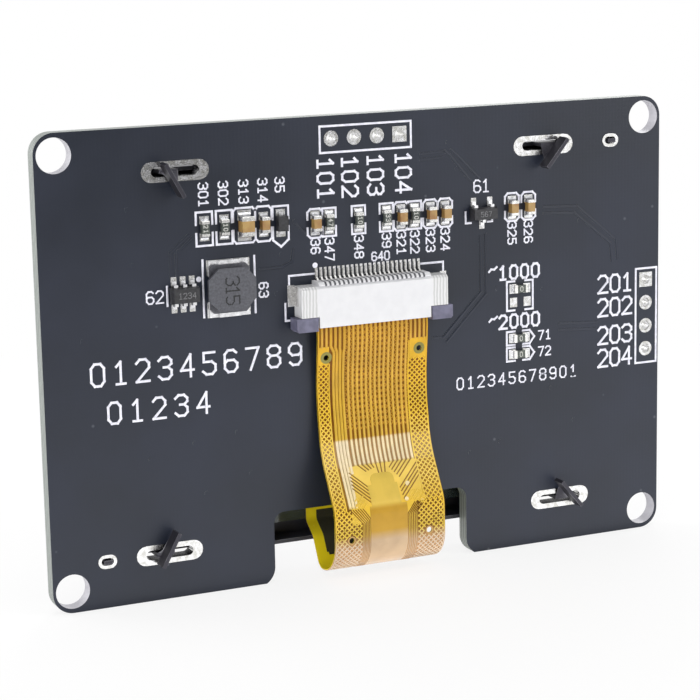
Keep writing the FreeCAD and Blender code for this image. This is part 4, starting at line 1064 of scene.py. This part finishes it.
def off_holes(strokes):
    """Leaves out what comes too near to a hole, in steps of the shortest length."""
    kept = []
    for a, b in strokes:
        steps = max(1, round(math.dist(a, b) / SHORTEST))
        run = []
        for i in range(steps + 1):
            spot = (a[0] + (b[0] - a[0]) * i / steps, a[1] + (b[1] - a[1]) * i / steps)
            clear = min(math.dist(spot, hole) for hole in FILM_HOLES) > NEAR_HOLE
            if clear:
                run.append(spot)
            if len(run) > 1 and (not clear or i == steps):
                kept.append([run[0], run[-1]])
            if not clear:
                run = []
    return kept


bands = [(4.9, MESH_EDGE, 7.2, 22.8), (3.2, MESH_EDGE, 22.8, ARTWORK_END), (-MESH_EDGE, -4.05, 7.4, 22.6),
         (-MESH_EDGE, -3.15, 22.6, ARTWORK_END), (2.4, 3.75, 21.3, 22.65), (-4.05, -2.4, 21.4, 22.6)]
mesh = [line for band in bands for line in mesh_lines(*band)]
mesh += [[(side * MESH_EDGE, TRACK_START), (side * MESH_EDGE, ARTWORK_END)] for side in (1, -1)]
mesh += [[(4.88, 7.2), (4.88, 22.8)], [(-4.05, 5.6), (-4.05, 22.6)]]
far_mesh = mesh_lines(-4.0, 3.1, 3.6, 14.4)
print("mesh lines:", len(mesh), "- on the far side:", len(far_mesh))

# %% [markdown]
# ## Bending the artwork onto the cable
# Every line lies on the film's outer side and has a height of its own, a few hundredths of a
# millimetre, so that copper, gaps and planes never share a surface.

# %% Lines on the cable
def bent_lines(name, strokes, width, low, high, surface):
    """Lines of one width between two heights above the film's outer side, in mm."""
    runs = off_holes(strokes)
    return dress(grow(name, strokes_curve(name, runs, 0.005), lines, Route=route, Line_Width=width * MM,
                      Line_Height=(high - low) * MM, Base_Lift=(OUTER + (low + high) / 2) * MM,
                      Surface=surface))


bent_lines("film_tracks", straight + short, 0.27, 0.0, 0.03, artwork["tracks"])
bent_lines("film_side_tracks", bent_in, 0.3, 0.0, 0.03, artwork["side_tracks"])
bent_lines("film_under_mesh", far_mesh, 0.11, 0.0, 0.012, artwork["far_mesh"])
bent_lines("film_mesh", mesh, 0.15, 0.0, 0.026, artwork["mesh"])
bent_lines("film_gaps", gaps, 0.12, 0.02, 0.04, artwork["gaps"])
bent_lines("film_low_gaps", low_gaps, 0.085, 0.02, 0.045, artwork["gaps"])


# %% Planes, pads and rings on the cable
def bent_plates(name, boxes, discs, radius, surface):
    """Plates with the film's holes punched to the given radius in mm."""
    return dress(grow(name, flat_plates(name, boxes, discs), plates, Route=route, Hole_Points=hole_points,
                      Hole_Radius=radius * MM, Surface=surface))


CLEAR_RADIUS = 0.42
top = OUTER + 0.024
shade_top = top + 0.03
planes = [(-6.15, -4.15, 5.4, 7.6), (4.95, 6.15, 5.4, 7.3), (-4.05, 3.75, FAN_TOP, 22.6),
          (-3.1, 4.3, 22.6, 24.2), (-3.1, 3.15, 24.2, ARTWORK_END)]
bent_plates("film_planes", [(*plane, OUTER, top) for plane in planes], [], CLEAR_RADIUS, artwork["mesh"])
# The chip behind the film shows as a duller shape with a rounded top; these plates are its painted shade.
chip_shade_plates = [(-0.45, 0.85, 19.2, 19.86, top, top + 0.028), (-1.1, 1.5, 19.86, 20.4, top, shade_top),
          (-1.35, 2.0, 20.4, 22.6, top, shade_top), (-1.95, 2.25, 22.6, ARTWORK_END, top, shade_top)]
bent_plates("film_chip_shade", chip_shade_plates, [(-0.45, 19.85, 0.65, top, top + 0.024),
                                        (0.85, 19.85, 0.65, top, top + 0.026)], CLEAR_RADIUS,
            artwork["chip_shade_paint"])
bent_plates("film_test_pads", [], [(-2.5, 20.7, 0.26, top, shade_top), (-3.75, 22.75, 0.26, top, shade_top),
                                   (-2.0, 22.3, 0.22, top, top + 0.04)], CLEAR_RADIUS, artwork["side_tracks"])
# The upper rings are wider than the lower ones.
rings = [(x, along, 0.62 if along < 10 else 0.44, OUTER, shade_top) for x, along in FILM_HOLES]
bent_plates("film_rings", [], rings, FILM_HOLE_RADIUS, artwork["rings"])
# Three steps round off the end of the dark patch on the side that faces the board.
dark_patch_steps = [(5.1, 33.4, 38.4), (4.9, 33.1, 33.4), (4.4, 32.9, 33.1)]
bent_plates("film_inner_lacquer", [(-x, x, a0, a1, -OUTER - 0.02, -OUTER) for x, a0, a1 in dark_patch_steps], [],
            FILM_HOLE_RADIUS, artwork["inner_dark_patch"])
bpy.data.objects.remove(route)
bpy.data.objects.remove(hole_points)

# %% [markdown]
# ## Camera
# The picture was taken from behind and above the module, close enough for its near edge to look
# larger. The camera stands where the picture's own perspective puts it, and the lens is long
# enough for the module to fill most of the frame.

# %% Camera at the picture's viewing angle
AIM = Vector((1.55, 0.26, -0.6)) * MM
DISTANCE = 232.6 * MM
AZIMUTH, ELEVATION, ROLL = math.radians(155.69), math.radians(11.33), math.radians(-1.13)
back = Vector((math.sin(AZIMUTH) * math.cos(ELEVATION), -math.cos(AZIMUTH) * math.cos(ELEVATION),
               math.sin(ELEVATION)))
level = Vector((0, 0, 1)).cross(back).normalized()
upward = back.cross(level)
right = level * math.cos(ROLL) + upward * math.sin(ROLL)
turn = Matrix((right, back.cross(right), back)).transposed().to_4x4()
lens = bpy.data.cameras.new("camera")
lens.lens = 116.0
lens.clip_start = 0.01
camera = add("camera", lens)
camera.matrix_world = Matrix.Translation(AIM + back * DISTANCE) @ turn
bpy.context.scene.camera = camera
print("camera at", [round(v / MM, 1) for v in camera.matrix_world.translation], "lens", lens.lens)

# %% [markdown]
# ## Floor, lamps and world
# A plain pale floor lies just under the module and keeps its soft shadow. Wide area lamps stand
# in for soft boxes. The world is white to the camera and to mirror-like surfaces, and a quieter
# grey as light, so that colours come out about as they are written. The board's lacquer is satin,
# so what it mirrors matters as much as its colour. A lamp flat on the floor works as a light
# table and brightens the lower part of the board. A black card that stands behind the camera is
# mirrored by the upper left part, which the picture shows darker. The camera sees neither.

# %% Which rays see the background
def background_rays(tree):
    """One for rays that show the background as it is: from the camera, a mirror or through glass."""
    path = node(tree, "ShaderNodeLightPath").outputs
    seen = node(tree, "ShaderNodeMath", {0: path["Is Camera Ray"], 1: path["Is Glossy Ray"]},
                operation="MAXIMUM")
    through = node(tree, "ShaderNodeMath", {0: seen.outputs[0], 1: path["Is Transmission Ray"]},
                   operation="MAXIMUM")
    return through.outputs[0]


# %% Floor and backdrop
FLOOR_CLOUD = 167.0
SHADOW_START, SHADOW_END = 50.0, 130.0


def floor_material():
    """Matt near the module, to keep its shadow, and turning to plain white further out."""
    material, tree, shader = start("pale matt floor", IOR=1.4, Roughness=0.9)
    place = node(tree, "ShaderNodeTexCoord").outputs["Object"]
    cloud = node(tree, "ShaderNodeTexNoise", {"Vector": place, "Scale": grain_scale(FLOOR_CLOUD),
                                              "Detail": 2.0})
    pale = node(tree, "ShaderNodeMix", {"Factor": cloud.outputs["Fac"], "A": colour("#f6f6f6"),
                                        "B": colour("#fbfbfb")}, data_type="RGBA")
    connect(tree, shader, {"Base Color": pale.outputs["Result"]})
    glow = node(tree, "ShaderNodeEmission", {"Color": colour("#ffffff"), "Strength": 1.0})
    far = node(tree, "ShaderNodeVectorMath", {0: place}, operation="LENGTH")
    white = node(tree, "ShaderNodeMapRange", {"Value": far.outputs["Value"], "From Min": SHADOW_START * MM,
                                              "From Max": SHADOW_END * MM, "To Min": 0.8, "To Max": 1.0})
    share = node(tree, "ShaderNodeMath", {0: background_rays(tree), 1: white.outputs[0]},
                 operation="MULTIPLY")
    mixed = node(tree, "ShaderNodeMixShader", {0: share.outputs[0], 1: shader.outputs[0], 2: glow.outputs[0]})
    end = next(made for made in tree.nodes if made.type == "OUTPUT_MATERIAL")
    connect(tree, end, {"Surface": mixed.outputs[0]})
    return material


FLOOR_Z = solid_box[0].z - 0.05 * MM
FLOOR_HALF = 3.0
floor = add_mesh("floor", [(x * FLOOR_HALF, y * FLOOR_HALF, FLOOR_Z)
                           for x, y in ((-1, -1), (1, -1), (1, 1), (-1, 1))], [(0, 1, 2, 3)])
floor.data.materials.append(floor_material())
print("floor at", round(FLOOR_Z / MM, 2), "mm")

# %% Soft lamps
def soft_lamp(name, place, size, power):
    """A square area lamp that looks at the middle of the picture; its place and size in metres."""
    data = bpy.data.lights.new(name, "AREA")
    data.shape = "SQUARE"
    data.size = size
    data.energy = power
    aimed = (Vector(place) - AIM).to_track_quat("Z", "Y").to_matrix().to_4x4()
    add(name, data).matrix_world = Matrix.Translation(place) @ aimed


soft_lamp("lamp_behind_left", (0.32, 0.42, 0.30), 0.30, 0.6)
soft_lamp("lamp_behind_right", (-0.34, 0.30, 0.14), 0.34, 0.95)
soft_lamp("lamp_front_left", (-0.32, -0.42, 0.30), 0.30, 0.8)
soft_lamp("lamp_front_right", (0.34, -0.30, 0.14), 0.34, 1.1)
soft_lamp("lamp_top", (0.0, 0.0, 0.5), 0.4, 0.6)
soft_lamp("lamp_side_left", (0.28, 0.06, 0.0), 0.12, 0.2)
print("soft lamps:", len(bpy.data.lights))

# %% Light table and black card
table = bpy.data.lights.new("lamp_light_table", "AREA")
table.shape = "RECTANGLE"
table.size, table.size_y = 0.15, 0.12
table.energy = 0.044
light_table = add("lamp_light_table", table)
light_table.matrix_world = (Matrix.Translation((-0.01, 0.063, FLOOR_Z + 0.02 * MM))
                            @ Matrix.Rotation(math.pi, 4, "X"))
light_table.visible_camera = False

CARD_Y, CARD_TOP = 0.23, 0.15
card = add_mesh("dark_card", [(-0.10, CARD_Y, FLOOR_Z), (0.16, CARD_Y, FLOOR_Z), (0.16, CARD_Y, CARD_TOP),
                              (-0.10, CARD_Y, CARD_TOP)], [(0, 1, 2, 3)])
card.data.materials.append(grained("dull black card", "#141416", "#1c1c1f", 2.0, 0.9, 0.01, IOR=1.4))
card.visible_camera = False
print("card stands", round(CARD_Y / MM), "mm behind the module")

# %% World
world = bpy.data.worlds.new("studio")
bpy.context.scene.world = world
world.use_nodes = True
sky = world.node_tree
sky.nodes.clear()
strength = node(sky, "ShaderNodeMapRange", {"Value": background_rays(sky), "To Min": 0.55, "To Max": 1.0})
light = node(sky, "ShaderNodeBackground", {"Color": colour("#ffffff"), "Strength": strength.outputs[0]})
node(sky, "ShaderNodeOutputWorld", {"Surface": light.outputs[0]})
bpy.context.scene.view_settings.view_transform = "Standard"
print("world nodes:", len(sky.nodes))
